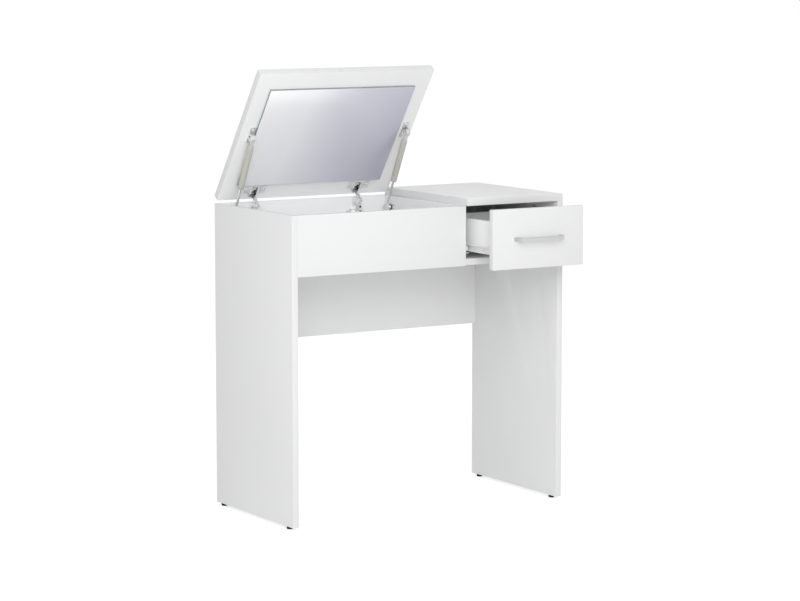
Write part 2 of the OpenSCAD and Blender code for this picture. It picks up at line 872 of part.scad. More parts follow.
// Socket on the ball of the lid's bracket
module strut_socket(i) {
    color("dimgray") on_strut(i) difference() {
        union() {
            cross_rod(eye_d / 2, -eye_t / 2, eye_t / 2);
            long_rod(neck_r, eye_d / 4, cylinder_start);
        }
        cross_rod(ball_d / 2 + fit, -eye_t, eye_t);
    }
}

module strut_socket_left() {
    strut_socket(0);
}

module strut_socket_right() {
    strut_socket(1);
}

// Rod, with the piston at its end in the cylinder
module strut_rod(i) {
    color(steel) on_strut(i) {
        long_rod(rod_d / 2, piston_start, strut_len - foot_l);
        long_rod(piston_d / 2, piston_start, piston_start + piston_t);
    }
}

module strut_rod_left() {
    strut_rod(0);
}

module strut_rod_right() {
    strut_rod(1);
}

module strut_foot(i) {
    color("dimgray") on_strut(i) {
        long_rod(neck_r, strut_len - foot_l, strut_len);
        translate([0, strut_len, 0]) cross_rod(eye_d / 2, -eye_t / 2, eye_t / 2);
    }
}

module strut_foot_left() {
    strut_foot(0);
}

module strut_foot_right() {
    strut_foot(1);
}

// Groove for the drawer bottom, in all four boards of the drawer
module drawer_groove() {
    block([drawer_inner[0] - groove, in_front - groove, drawer_bottom_z - fit],
        [drawer_inner[1] + groove, drawer_end - drawer_t + groove, drawer_bottom_z + drawer_bottom_t + fit]);
}

// One board of the drawer, with the bores that reach into it
module drawer_board(a, b) {
    color(laminate) pulled() difference() {
        block(a, b);
        drawer_groove();
        dowel_bores(drawer_dowels, drawer_dowel_d, drawer_dowel_face);
        screw_bores(drawer_screw_list);
        for (s = sides) translate([handle_x + s * handle_centres / 2, front_y, handle_z])
            long_rod(handle_screw_d / 2 + fit, -1, board_t + 1);
    }
}

module drawer_front() {
    drawer_board([drawer_front_l, front_y, drawer_front_top - drawer_front_h],
        [drawer_front_r, in_front, drawer_front_top]);
}

module drawer_side_left() {
    drawer_board([drawer_faces[0], in_front, drawer_low], [drawer_inner[0], drawer_end, drawer_high]);
}

module drawer_side_right() {
    drawer_board([drawer_inner[1], in_front, drawer_low], [drawer_faces[1], drawer_end, drawer_high]);
}

module drawer_back() {
    drawer_board([drawer_inner[0], drawer_end - drawer_t, drawer_low],
        [drawer_inner[1], drawer_end, drawer_high]);
}

module drawer_bottom() {
    color("gainsboro") pulled() block(
        [drawer_inner[0] - groove + near, in_front - groove + near, drawer_bottom_z],
        [drawer_inner[1] + groove - near, drawer_end - drawer_t + groove - near,
            drawer_bottom_z + drawer_bottom_t]);
}

module drawer_dowels() {
    color("burlywood") pulled() dowels_in(drawer_dowels, drawer_dowel_d, drawer_dowel_face);
}

// Bridge handle: one bar, bent back to a foot at each end
module drawer_handle() {
    foot = handle_l - handle_centres;
    outline = [
        [-handle_l / 2, 0],
        [-handle_front_l / 2, -handle_reach],
        [handle_front_l / 2, -handle_reach],
        [handle_l / 2, 0],
        [handle_l / 2 - foot, 0],
        [handle_front_l / 2 - handle_t, handle_t - handle_reach],
        [handle_t - handle_front_l / 2, handle_t - handle_reach],
        [foot - handle_l / 2, 0]
    ];
    color(steel) pulled() translate([handle_x, front_y, handle_z]) difference() {
        translate([0, 0, -handle_h / 2]) linear_extrude(handle_h) polygon(outline);
        for (s = sides) translate([s * handle_centres / 2, 0, 0])
            long_rod(handle_screw_d / 2 + fit, -handle_screw_in - near, 1);
    }
}

module handle_screws() {
    color(steel) pulled() for (s = sides) translate([handle_x + s * handle_centres / 2, front_y, handle_z]) {
        long_rod(handle_screw_d / 2, -handle_screw_in, board_t);
        long_rod(handle_head_d / 2, board_t, board_t + handle_head_h);
    }
}

// Drawer member of a slide: a flange on the drawer side, a foot under it, a lip over the front roller
module drawer_slide(i) {
    end = drawer_slide_start + slide_l;
    flange = slide_gap - slide_t;
    color(laminate) pulled() difference() {
        from_wall(walls[i], i) {
            block([flange, drawer_slide_start, drawer_low - slide_t], [slide_gap, end, lip_z + slide_t]);
            block([flange, drawer_slide_start, drawer_low - slide_t],
                [slide_gap + drawer_t / 2, end, drawer_low]);
            block([slide_t + near, drawer_slide_start, lip_z], [slide_gap, end, lip_z + slide_t]);
            translate([0, rear_roller[0], rear_roller[1]])
                cross_rod(roller_pin_d / 2, rear_roller_x - near, flange);
        }
        screw_bores(drawer_screw_list);
    }
}

module drawer_slide_left() {
    drawer_slide(0);
}

module drawer_slide_right() {
    drawer_slide(1);
}

module rear_roller_left() {
    pulled() roller(0, rear_roller_x, rear_roller);
}

module rear_roller_right() {
    pulled() roller(1, rear_roller_x, rear_roller);
}

module drawer_screws() {
    color(steel) pulled() screws(drawer_screw_list);
}

left_side_panel();
right_side_panel();
back_panel();
front_apron();
bottom_board();
divider_panel();
fixed_top();
glide_front_left();
glide_front_right();
glide_rear_left();
glide_rear_right();
wood_dowels();
cam_locks();
cam_bolts();
top_angles();
hinge_plate_left();
hinge_plate_right();
hinge_arm_left();
hinge_arm_right();
hinge_pins();
hinge_link_left();
hinge_link_right();
case_bracket_left();
case_bracket_right();
case_slide_left();
case_slide_right();
case_screws();
front_roller_left();
front_roller_right();
lid_panel();
mirror_glass();
mirror_tape();
hinge_cup_left();
hinge_cup_right();
lid_bracket_left();
lid_bracket_right();
lid_screws();
strut_cylinder_left();
strut_cylinder_right();
strut_socket_left();
strut_socket_right();
strut_rod_left();
strut_rod_right();
strut_foot_left();
strut_foot_right();
drawer_front();
drawer_side_left();
drawer_side_right();
drawer_back();
drawer_bottom();
drawer_dowels();
drawer_handle();
handle_screws();
drawer_slide_left();
drawer_slide_right();
rear_roller_left();
rear_roller_right();
drawer_screws();
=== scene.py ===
import json
import math

import bmesh
import bpy
from mathutils import Matrix, Vector


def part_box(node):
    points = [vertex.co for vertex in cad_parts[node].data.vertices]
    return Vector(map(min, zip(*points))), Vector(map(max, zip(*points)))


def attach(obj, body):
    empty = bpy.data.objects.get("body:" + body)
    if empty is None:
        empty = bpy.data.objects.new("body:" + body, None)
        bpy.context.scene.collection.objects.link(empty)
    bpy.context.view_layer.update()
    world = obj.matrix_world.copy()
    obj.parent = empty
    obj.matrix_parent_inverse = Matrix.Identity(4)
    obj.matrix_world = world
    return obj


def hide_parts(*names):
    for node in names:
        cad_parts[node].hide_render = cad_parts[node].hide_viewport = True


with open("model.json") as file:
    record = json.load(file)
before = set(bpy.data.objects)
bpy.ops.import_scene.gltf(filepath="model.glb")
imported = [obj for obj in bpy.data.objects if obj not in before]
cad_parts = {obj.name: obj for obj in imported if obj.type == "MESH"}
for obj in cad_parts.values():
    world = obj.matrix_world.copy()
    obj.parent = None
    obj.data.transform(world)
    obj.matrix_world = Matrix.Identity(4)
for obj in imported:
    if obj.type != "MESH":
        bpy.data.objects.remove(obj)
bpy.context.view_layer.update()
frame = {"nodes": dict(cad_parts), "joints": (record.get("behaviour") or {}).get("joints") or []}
mm = 0.001
mergeWithin = {"solid": 0.01 * mm, "turned": 0.005 * mm}  # points nearer than this become one
flatWithin = math.radians(1)  # faces that turn by less than this become one
print("frame loaded,", len(frame["nodes"]), "nodes")

xWay, yWay, zWay = Vector((1, 0, 0)), Vector((0, 1, 0)), Vector((0, 0, 1))
hands = ("left", "right")


# Finding, selecting, placing and finishing

def findJoint(name):
    return next(joint for joint in frame["joints"] if joint["name"] == name)


def activate(*objects):
    if bpy.context.object and bpy.context.object.mode != "OBJECT":
        bpy.ops.object.mode_set(mode="OBJECT")
    bpy.ops.object.select_all(action="DESELECT")
    for obj in objects:
        obj.select_set(True)
    if objects:
        bpy.context.view_layer.objects.active = objects[0]


def applyPlace(obj, place=None):  # bakes a place, or the object's own one, into its mesh
    if place is not None:
        obj.matrix_world = place
    activate(obj)
    bpy.ops.object.transform_apply(location=True, rotation=True, scale=True)
    return obj


def useModifier(obj, kind, **settings):
    modifier = obj.modifiers.new(kind, kind)
    for key, value in settings.items():
        setattr(modifier, key, value)
    activate(obj)
    bpy.ops.object.modifier_apply(modifier=modifier.name)


def smoothFaces(obj, angle=35):
    activate(obj)
    bpy.ops.object.shade_smooth_by_angle(angle=math.radians(angle))


def mergePoints(obj, apart):
    activate(obj)
    bpy.ops.object.mode_set(mode="EDIT")
    bpy.ops.mesh.select_all(action="SELECT")
    bpy.ops.mesh.remove_doubles(threshold=apart)
    bpy.ops.object.mode_set(mode="OBJECT")


def roundEdges(obj, width, segments=2, angle=30):
    useModifier(obj, "BEVEL", width=width, segments=segments, limit_method="ANGLE",
                angle_limit=math.radians(angle))
    mergePoints(obj, mergeWithin["solid"])
    smoothFaces(obj)
    return obj


def cleanMesh(obj):  # merges doubles, joins flat triangles into faces and turns all faces outward
    activate(obj)
    bpy.ops.object.mode_set(mode="EDIT")
    bpy.ops.mesh.select_all(action="SELECT")
    bpy.ops.mesh.remove_doubles(threshold=mergeWithin["solid"])
    bpy.ops.mesh.dissolve_limited(angle_limit=flatWithin)
    bpy.ops.mesh.normals_make_consistent(inside=False)
    bpy.ops.object.mode_set(mode="OBJECT")
    bpy.ops.mesh.customdata_custom_splitnormals_clear()
    return obj


def turnTo(way):  # turns +Z to a direction
    return Vector(way).to_track_quat("Z", "Y").to_matrix().to_4x4()


def copyTo(obj, name, place):  # a copy with its own mesh, at its place
    other = bpy.data.objects.new(name, obj.data.copy())
    bpy.context.scene.collection.objects.link(other)
    return applyPlace(other, place)


def joinAll(objects, name):
    activate(*objects)
    if len(objects) > 1:
        bpy.ops.object.join()
    obj = bpy.context.object
    obj.name = obj.data.name = name
    return obj


def cutAway(obj, *cutters):
    for cutter in cutters:
        useModifier(obj, "BOOLEAN", object=cutter, operation="DIFFERENCE", solver="EXACT")
        bpy.data.objects.remove(cutter)
    return obj


def finishPiece(obj, body, slotName, materials, *nodes):
    if materials:
        obj.data.materials.clear()
        for material in materials:
            obj.data.materials.append(material)
    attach(obj, body)
    if nodes:
        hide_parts(*nodes)
    return obj


# Starting shapes

def addBlock(name, low, high):
    low, high = Vector(low), Vector(high)
    activate()
    bpy.ops.mesh.primitive_cube_add(size=1, location=(low + high) / 2)
    obj = bpy.context.object
    obj.name = obj.data.name = name
    obj.scale = high - low
    return applyPlace(obj)


def addRod(name, start, end, radius, sides=48):
    start, end = Vector(start), Vector(end)
    activate()
    bpy.ops.mesh.primitive_cylinder_add(vertices=sides, radius=radius, depth=(end - start).length)
    obj = bpy.context.object
    obj.name = obj.data.name = name
    return applyPlace(obj, Matrix.Translation((start + end) / 2) @ turnTo(end - start))


def addTurned(name, profile, place=None, sides=48, ring=False):
    # A turned piece: a circle extruded and resized from one (height, radius) of its profile to the next
    height, radius = profile[0]
    activate()
    bpy.ops.mesh.primitive_circle_add(vertices=sides, radius=radius, location=(0, 0, height),
                                      fill_type="NOTHING" if ring else "NGON")
    obj = bpy.context.object
    obj.name = obj.data.name = name
    applyPlace(obj)
    bpy.ops.object.mode_set(mode="EDIT")
    bpy.ops.mesh.select_all(action="SELECT")
    extrude = bpy.ops.mesh.extrude_edges_move if ring else bpy.ops.mesh.extrude_region_move
    for nextHeight, nextRadius in profile[1:] + (profile[:1] if ring else []):
        extrude(TRANSFORM_OT_translate={"value": (0, 0, nextHeight - height)})
        ratio = nextRadius / radius
        if abs(ratio - 1) > 1e-6:
            bpy.ops.transform.resize(value=(ratio, ratio, 1), center_override=(0, 0, nextHeight))
        height, radius = nextHeight, nextRadius
    bpy.ops.mesh.select_all(action="SELECT")
    bpy.ops.mesh.remove_doubles(threshold=mergeWithin["turned"])
    bpy.ops.mesh.normals_make_consistent(inside=False)
    bpy.ops.object.mode_set(mode="OBJECT")
    smoothFaces(obj)
    return applyPlace(obj, place)


def addSheetShape(name, outline, low, high, place=None):
    # A flat shape with this outline, in X and Y, extruded from one height to the other
    activate()
    bpy.ops.mesh.primitive_circle_add(vertices=len(outline), radius=1, fill_type="NGON")
    obj = bpy.context.object
    obj.name = obj.data.name = name
    for vertex, (x, y) in zip(obj.data.vertices, outline):
        vertex.co = (x, y, low)
    bpy.ops.object.mode_set(mode="EDIT")
    bpy.ops.mesh.select_all(action="SELECT")
    bpy.ops.mesh.extrude_region_move(TRANSFORM_OT_translate={"value": (0, 0, high - low)})
    bpy.ops.mesh.select_all(action="SELECT")
    bpy.ops.mesh.normals_make_consistent(inside=False)
    bpy.ops.object.mode_set(mode="OBJECT")
    return applyPlace(obj, place)


def softCopy(name, node, width=0.25 * mm, segments=2):  # a CAD solid with softened edges
    obj = bpy.data.objects.new(name, frame["nodes"][node].data.copy())
    bpy.context.scene.collection.objects.link(obj)
    obj.data.name = name
    obj.data.materials.clear()
    cleanMesh(obj)
    return roundEdges(obj, width, segments) if width else obj


def widestFaces(node):  # the middle and the way of the widest flat face of each solid in a node
    mesh = bmesh.new()
    mesh.from_mesh(frame["nodes"][node].data)
    bmesh.ops.remove_doubles(mesh, verts=mesh.verts, dist=mergeWithin["solid"])
    bmesh.ops.dissolve_limit(mesh, angle_limit=flatWithin, verts=mesh.verts, edges=mesh.edges)
    found, seen = [], set()
    for first in mesh.faces:
        if first in seen:
            continue
        island, waiting = [], [first]
        seen.add(first)
        while waiting:
            face = waiting.pop()
            island.append(face)
            for edge in face.edges:
                for near in edge.link_faces:
                    if near not in seen:
                        seen.add(near)
                        waiting.append(near)
        widest = max(island, key=lambda face: face.calc_area())
        found.append((widest.calc_center_bounds(), widest.normal.copy()))
    mesh.free()
    return found


# Shader groups

def startGroup(name, inputs, outputs):
    group = bpy.data.node_groups.new(name, "ShaderNodeTree")
    group.interface.new_socket(name="Vector", in_out="INPUT", socket_type="NodeSocketVector")
    for label, value in inputs.items():
        kind = {float: "NodeSocketFloat", tuple: "NodeSocketColor", list: "NodeSocketVector"}[type(value)]
        socket = group.interface.new_socket(name=label, in_out="INPUT", socket_type=kind)
        socket.default_value = value
    for label, kind in outputs.items():
        group.interface.new_socket(name=label, in_out="OUTPUT", socket_type=kind)
    return group, group.nodes.new("NodeGroupInput"), group.nodes.new("NodeGroupOutput")


def addNode(tree, kind, values=None, **settings):
    node = tree.nodes.new(kind)
    for key, value in settings.items():
        setattr(node, key, value)
    for key, value in (values or {}).items():
        node.inputs[key].default_value = value
    return node


# Slow drift between two values, for roughness
driftGroup, start, end = startGroup(
    "surfaceDrift", {"Scale": 10.0, "Low": 0.3, "High": 0.4}, {"Value": "NodeSocketFloat"})
noise = addNode(driftGroup, "ShaderNodeTexNoise", {"Detail": 5.0, "Roughness": 0.6})
spread = addNode(driftGroup, "ShaderNodeMapRange", {"From Min": 0.35, "From Max": 0.65})
driftGroup.links.new(start.outputs["Vector"], noise.inputs["Vector"])
driftGroup.links.new(start.outputs["Scale"], noise.inputs["Scale"])
driftGroup.links.new(noise.outputs["Fac"], spread.inputs["Value"])
driftGroup.links.new(start.outputs["Low"], spread.inputs["To Min"])
driftGroup.links.new(start.outputs["High"], spread.inputs["To Max"])
driftGroup.links.new(spread.outputs["Result"], end.inputs["Value"])

# A colour that is a little lighter and darker from place to place
tintGroup, start, end = startGroup(
    "surfaceTint", {"Color": (0.8, 0.8, 0.8, 1.0), "Scale": 4.0, "Darkest": 0.98, "Lightest": 1.01},
    {"Color": "NodeSocketColor"})
noise = addNode(tintGroup, "ShaderNodeTexNoise", {"Detail": 4.0, "Roughness": 0.55})
spread = addNode(tintGroup, "ShaderNodeMapRange", {"From Min": 0.3, "From Max": 0.7})
shade = addNode(tintGroup, "ShaderNodeHueSaturation")
tintGroup.links.new(start.outputs["Vector"], noise.inputs["Vector"])
tintGroup.links.new(start.outputs["Scale"], noise.inputs["Scale"])
tintGroup.links.new(noise.outputs["Fac"], spread.inputs["Value"])
tintGroup.links.new(start.outputs["Darkest"], spread.inputs["To Min"])
tintGroup.links.new(start.outputs["Lightest"], spread.inputs["To Max"])
tintGroup.links.new(spread.outputs["Result"], shade.inputs["Value"])
tintGroup.links.new(start.outputs["Color"], shade.inputs["Color"])
tintGroup.links.new(shade.outputs["Color"], end.inputs["Color"])

# The pressed pearl structure of melamine, moulded plastic and powder coat
pearlGroup, start, end = startGroup(
    "pearlRelief", {"Fine": 1800.0, "Coarse": 500.0, "Share": 0.5}, {"Height": "NodeSocketFloat"})
fine = addNode(pearlGroup, "ShaderNodeTexNoise", {"Detail": 3.0, "Roughness": 0.5})
coarse = addNode(pearlGroup, "ShaderNodeTexVoronoi", feature="SMOOTH_F1")
blend = addNode(pearlGroup, "ShaderNodeMix", data_type="FLOAT")
pearlGroup.links.new(start.outputs["Vector"], fine.inputs["Vector"])
pearlGroup.links.new(start.outputs["Vector"], coarse.inputs["Vector"])
pearlGroup.links.new(start.outputs["Fine"], fine.inputs["Scale"])
pearlGroup.links.new(start.outputs["Coarse"], coarse.inputs["Scale"])
pearlGroup.links.new(start.outputs["Share"], blend.inputs["Factor"])
pearlGroup.links.new(fine.outputs["Fac"], blend.inputs["A"])
pearlGroup.links.new(coarse.outputs["Distance"], blend.inputs["B"])
pearlGroup.links.new(blend.outputs["Result"], end.inputs["Height"])

# Fine lines that run along one axis, as on brushed or drawn metal
brushGroup, start, end = startGroup(
    "brushedLines", {"Stretch": [1.0, 40.0, 40.0], "Scale": 60.0},
    {"Height": "NodeSocketFloat", "Mask": "NodeSocketFloat"})
stretch = addNode(brushGroup, "ShaderNodeVectorMath", operation="MULTIPLY")
lines = addNode(brushGroup, "ShaderNodeTexNoise", {"Detail": 6.0, "Roughness": 0.7})
contrast = addNode(brushGroup, "ShaderNodeMapRange", {"From Min": 0.3, "From Max": 0.7})
brushGroup.links.new(start.outputs["Vector"], stretch.inputs[0])
brushGroup.links.new(start.outputs["Stretch"], stretch.inputs[1])
brushGroup.links.new(stretch.outputs["Vector"], lines.inputs["Vector"])
brushGroup.links.new(start.outputs["Scale"], lines.inputs["Scale"])
brushGroup.links.new(lines.outputs["Fac"], contrast.inputs["Value"])
brushGroup.links.new(lines.outputs["Fac"], end.inputs["Height"])
brushGroup.links.new(contrast.outputs["Result"], end.inputs["Mask"])

# Flecks of two colours, for chipboard, zinc spangle and wood
fleckGroup, start, end = startGroup(
    "surfaceFlecks", {"Dark": (0.3, 0.2, 0.12, 1.0), "Light": (0.6, 0.45, 0.3, 1.0), "Scale": 700.0,
                      "Stretch": [1.0, 1.0, 1.0]},
    {"Color": "NodeSocketColor", "Height": "NodeSocketFloat"})
stretch = addNode(fleckGroup, "ShaderNodeVectorMath", operation="MULTIPLY")
cells = addNode(fleckGroup, "ShaderNodeTexVoronoi", {"Randomness": 1.0})
pick = addNode(fleckGroup, "ShaderNodeSeparateColor")
blend = addNode(fleckGroup, "ShaderNodeMix", data_type="RGBA")
fleckGroup.links.new(start.outputs["Vector"], stretch.inputs[0])
fleckGroup.links.new(start.outputs["Stretch"], stretch.inputs[1])
fleckGroup.links.new(stretch.outputs["Vector"], cells.inputs["Vector"])
fleckGroup.links.new(start.outputs["Scale"], cells.inputs["Scale"])
fleckGroup.links.new(cells.outputs["Color"], pick.inputs["Color"])
fleckGroup.links.new(pick.outputs["Red"], blend.inputs["Factor"])
fleckGroup.links.new(start.outputs["Dark"], blend.inputs[6])
fleckGroup.links.new(start.outputs["Light"], blend.inputs[7])
fleckGroup.links.new(blend.outputs[2], end.inputs["Color"])
fleckGroup.links.new(cells.outputs["Distance"], end.inputs["Height"])


def placeGroup(tree, group, vector, **values):
    node = tree.nodes.new("ShaderNodeGroup")
    node.node_tree = group
    tree.links.new(vector, node.inputs["Vector"])
    for key, value in values.items():
        node.inputs[key].default_value = value
    return node


def startMaterial(name, **values):
    material = bpy.data.materials.new(name)
    material.use_nodes = True
    tree = material.node_tree
    shader = tree.nodes["Principled BSDF"]
    for key, value in values.items():
        shader.inputs[key.replace("_", " ")].default_value = value
    return material, tree, shader, tree.nodes.new("ShaderNodeTexCoord").outputs["Object"]


def addBump(tree, shader, height, strength, distance):
    bump = addNode(tree, "ShaderNodeBump", {"Strength": strength, "Distance": distance})
    tree.links.new(height, bump.inputs["Height"])
    tree.links.new(bump.outputs["Normal"], shader.inputs["Normal"])


def coatedMaterial(name, color, rough, tint=(3.0, 0.985, 1.01), pearl=(1800.0, 500.0, 0.5),
                   relief=(0.15, 0.05 * mm), **values):
    # Laminate, lacquer, powder coat and moulded plastic. Rough and tint hold a scale and two ends, pearl
    # two scales and a share, and relief a strength and a distance
    material, tree, shader, place = startMaterial(name, **values)
    tintNode = placeGroup(tree, tintGroup, place, Color=(*color, 1), Scale=tint[0],
                          Darkest=tint[1], Lightest=tint[2])
    roughNode = placeGroup(tree, driftGroup, place, Scale=rough[0], Low=rough[1], High=rough[2])
    pearlNode = placeGroup(tree, pearlGroup, place, Fine=pearl[0], Coarse=pearl[1], Share=pearl[2])
    tree.links.new(tintNode.outputs["Color"], shader.inputs["Base Color"])
    tree.links.new(roughNode.outputs["Value"], shader.inputs["Roughness"])
    addBump(tree, shader, pearlNode.outputs["Height"], *relief)
    return material


def metalMaterial(name, color, rough, stretch, tint=(30.0, 0.95, 1.04), scale=60.0,
                  relief=(0.1, 0.02 * mm), **values):
    # Plated, drawn and brushed metal: the lines make both the relief and the roughness
    material, tree, shader, place = startMaterial(name, Metallic=1.0, **values)
    tintNode = placeGroup(tree, tintGroup, place, Color=(*color, 1), Scale=tint[0],
                          Darkest=tint[1], Lightest=tint[2])
    lineNode = placeGroup(tree, brushGroup, place, Stretch=stretch, Scale=scale)
    spread = addNode(tree, "ShaderNodeMapRange", {"To Min": rough[0], "To Max": rough[1]})
    tree.links.new(tintNode.outputs["Color"], shader.inputs["Base Color"])
    tree.links.new(lineNode.outputs["Mask"], spread.inputs["Value"])
    tree.links.new(spread.outputs["Result"], shader.inputs["Roughness"])
    addBump(tree, shader, lineNode.outputs["Height"], *relief)
    return material


def fleckMaterial(name, dark, light, scale, stretch, rough, relief, **values):
    material, tree, shader, place = startMaterial(name, **values)
    fleckNode = placeGroup(tree, fleckGroup, place, Dark=(*dark, 1), Light=(*light, 1), Scale=scale,
                           Stretch=stretch)
    roughNode = placeGroup(tree, driftGroup, place, Scale=rough[0], Low=rough[1], High=rough[2])
    tree.links.new(fleckNode.outputs["Color"], shader.inputs["Base Color"])
    tree.links.new(roughNode.outputs["Value"], shader.inputs["Roughness"])
    addBump(tree, shader, fleckNode.outputs["Height"], *relief)
    return material


laminateFace = coatedMaterial("laminateFace", (0.895, 0.897, 0.9), (14.0, 0.36, 0.46),
                              Specular_IOR_Level=0.25)
# The apron and drawer front: the same white laminate as the other boards, made darker as painted shade to
# take down the light on these front-facing boards
frontFace = coatedMaterial("frontFace", (0.825, 0.827, 0.83), (14.0, 0.36, 0.46), Specular_IOR_Level=0.25)
# Edge band: partly the band's own colour, and partly darker than the faces as painted shade to take down
# the light on the front edges
laminateEdge = coatedMaterial("laminateEdge", (0.82, 0.822, 0.825), (30.0, 0.27, 0.34),
                              pearl=(900.0, 260.0, 0.4), relief=(0.1, 0.04 * mm), Specular_IOR_Level=0.3)
drawerFace = coatedMaterial("drawerFace", (0.89, 0.892, 0.896), (18.0, 0.4, 0.5), Specular_IOR_Level=0.25)
lacqueredBase = coatedMaterial("lacqueredBase", (0.80, 0.80, 0.81), (22.0, 0.42, 0.56),
                               pearl=(700.0, 240.0, 0.6), relief=(0.2, 0.08 * mm))
chipCore = fleckMaterial("chipCore", (0.34, 0.24, 0.15), (0.68, 0.54, 0.38), 650.0, [1.0, 1.0, 2.2],
                         (60.0, 0.75, 0.9), (0.5, 0.3 * mm))
rawBeech = fleckMaterial("rawBeech", (0.55, 0.37, 0.22), (0.78, 0.60, 0.41), 500.0, [1.0, 0.12, 1.0],
                         (80.0, 0.55, 0.7), (0.25, 0.1 * mm))
glidePlastic = coatedMaterial("glidePlastic", (0.012, 0.012, 0.013), (90.0, 0.5, 0.66),
                              tint=(60.0, 0.8, 1.2), pearl=(2200.0, 900.0, 0.5), relief=(0.3, 0.06 * mm),
                              Specular_IOR_Level=0.2)
hingeNickel = metalMaterial("hingeNickel", (0.86, 0.86, 0.865), (0.3, 0.46), [1.0, 8.0, 8.0])
zincPlate = metalMaterial("zincPlate", (0.80, 0.80, 0.81), (0.3, 0.46), [1.0, 5.0, 5.0],
                          tint=(180.0, 0.88, 1.06))
# Dark steel for the pins and the arm's screws; in the cup's works the same dark colour is painted shade
darkSteel = metalMaterial("darkSteel", (0.07, 0.07, 0.075), (0.25, 0.42), [1.0, 6.0, 6.0])
powderCoat = coatedMaterial("powderCoat", (0.83, 0.83, 0.835), (40.0, 0.36, 0.5), tint=(20.0, 0.97, 1.01),
                            pearl=(1200.0, 420.0, 0.75), relief=(0.35, 0.08 * mm))
rollerNylon = coatedMaterial("rollerNylon", (0.86, 0.86, 0.845), (120.0, 0.28, 0.42),
                             tint=(90.0, 0.96, 1.02), pearl=(2600.0, 800.0, 0.3), relief=(0.2, 0.04 * mm))
foamTape = fleckMaterial("foamTape", (0.72, 0.72, 0.72), (0.84, 0.84, 0.84), 1500.0, [1.0, 1.0, 1.0],
                         (100.0, 0.7, 0.9), (0.5, 0.2 * mm))
strutLacquer = coatedMaterial("strutLacquer", (0.51, 0.51, 0.45), (45.0, 0.3, 0.4), tint=(25.0, 0.96, 1.03),
                              pearl=(1600.0, 700.0, 0.6), relief=(0.2, 0.04 * mm))
rodChrome = metalMaterial("rodChrome", (0.70, 0.70, 0.69), (0.1, 0.22), [8.0, 8.0, 1.0],
                          relief=(0.05, 0.01 * mm))
strutPlastic = coatedMaterial("strutPlastic", (0.66, 0.66, 0.645), (80.0, 0.34, 0.48),
                              tint=(60.0, 0.94, 1.03), pearl=(2400.0, 900.0, 0.5), relief=(0.25, 0.05 * mm))
# Black rubber for the boss rings; the same dark colour fills the bracket windows as painted shade
ringRubber = coatedMaterial("ringRubber", (0.03, 0.03, 0.032), (90.0, 0.5, 0.65), tint=(50.0, 0.8, 1.2))
handleSatin = metalMaterial("handleSatin", (0.58, 0.58, 0.585), (0.3, 0.44), [1.0, 30.0, 30.0],
                            tint=(12.0, 0.98, 1.02), scale=45.0, relief=(0.12, 0.015 * mm))
print("materials made")


# Boards: each is a block with its bores, grooves and rounded edges, faced and banded

boardShape = {
    "edge": 0.8 * mm, "segments": 3, "skin": 0.1 * mm, "narrow": 0.7,
    "camRadius": 7.55 * mm, "camHeight": 11.7 * mm, "camSunk": 0.3 * mm, "camSides": 40,
    "grooveFit": 0.35 * mm,
}
boards = [  # name, CAD node, body, slot, face material
    ("leftSide", "left_side_panel", "case", "white_laminate", laminateFace),
    ("rightSide", "right_side_panel", "case", "white_laminate", laminateFace),
    ("backBoard", "back_panel", "case", "white_laminate", laminateFace),
    ("frontApron", "front_apron", "case", "white_laminate", frontFace),
    ("floorBoard", "bottom_board", "case", "white_laminate", laminateFace),
    ("divider", "divider_panel", "case", "white_laminate", laminateFace),
    ("fixedTop", "fixed_top", "case", "white_laminate", laminateFace),
    ("drawerFront", "drawer_front", "drawer", "white_laminate", frontFace),
    ("drawerSideLeft", "drawer_side_left", "drawer", "drawer_board", drawerFace),
    ("drawerSideRight", "drawer_side_right", "drawer", "drawer_board", drawerFace),
    ("drawerRear", "drawer_back", "drawer", "drawer_board", drawerFace),
]
camPlaces = [(middle, -way) for middle, way in widestFaces("cam_locks")]


def bandBoard(obj, low, high, face):
    # Wide faces get the laminate, the narrow ones the edge band, and bores and grooves the chipboard
    for material in (face, laminateEdge, chipCore):
        obj.data.materials.append(material)
    size = high - low
    thin = min(range(3), key=lambda axis: size[axis])
    for polygon in obj.data.polygons:
        inside = min(min(polygon.center[axis] - low[axis], high[axis] - polygon.center[axis])
                     for axis in range(3))
        if inside > boardShape["edge"] + boardShape["skin"]:
            polygon.material_index = 2
        elif abs(polygon.normal[thin]) < boardShape["narrow"]:
            polygon.material_index = 1


def holds(low, high, point):
    return all(low[axis] < point[axis] < high[axis] for axis in range(3))


looseFit = Vector((1, 1, 1)) * boardShape["grooveFit"]
grooveLow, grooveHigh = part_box("drawer_bottom")
for name, node, body, slotName, face in boards:
    low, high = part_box(node)
    board = addBlock(name, low, high)
    for middle, way in camPlaces:
        if holds(low, high, middle):
            bottom = middle - way * boardShape["camSunk"]
            top = middle + way * (boardShape["camHeight"] + boardShape["camSunk"] + mm)
            cutAway(board, addRod("camBore", bottom, top, boardShape["camRadius"],
                                  boardShape["camSides"]))
    if body == "drawer":
        cutAway(board, addBlock("groove", grooveLow - looseFit, grooveHigh + looseFit))
    roundEdges(board, boardShape["edge"], boardShape["segments"])
    bandBoard(board, low, high, face)
    finishPiece(board, body, slotName, None, node)
print("boards made")


# Lid: built shut, then turned about the hinge's line to where its struts hold it open

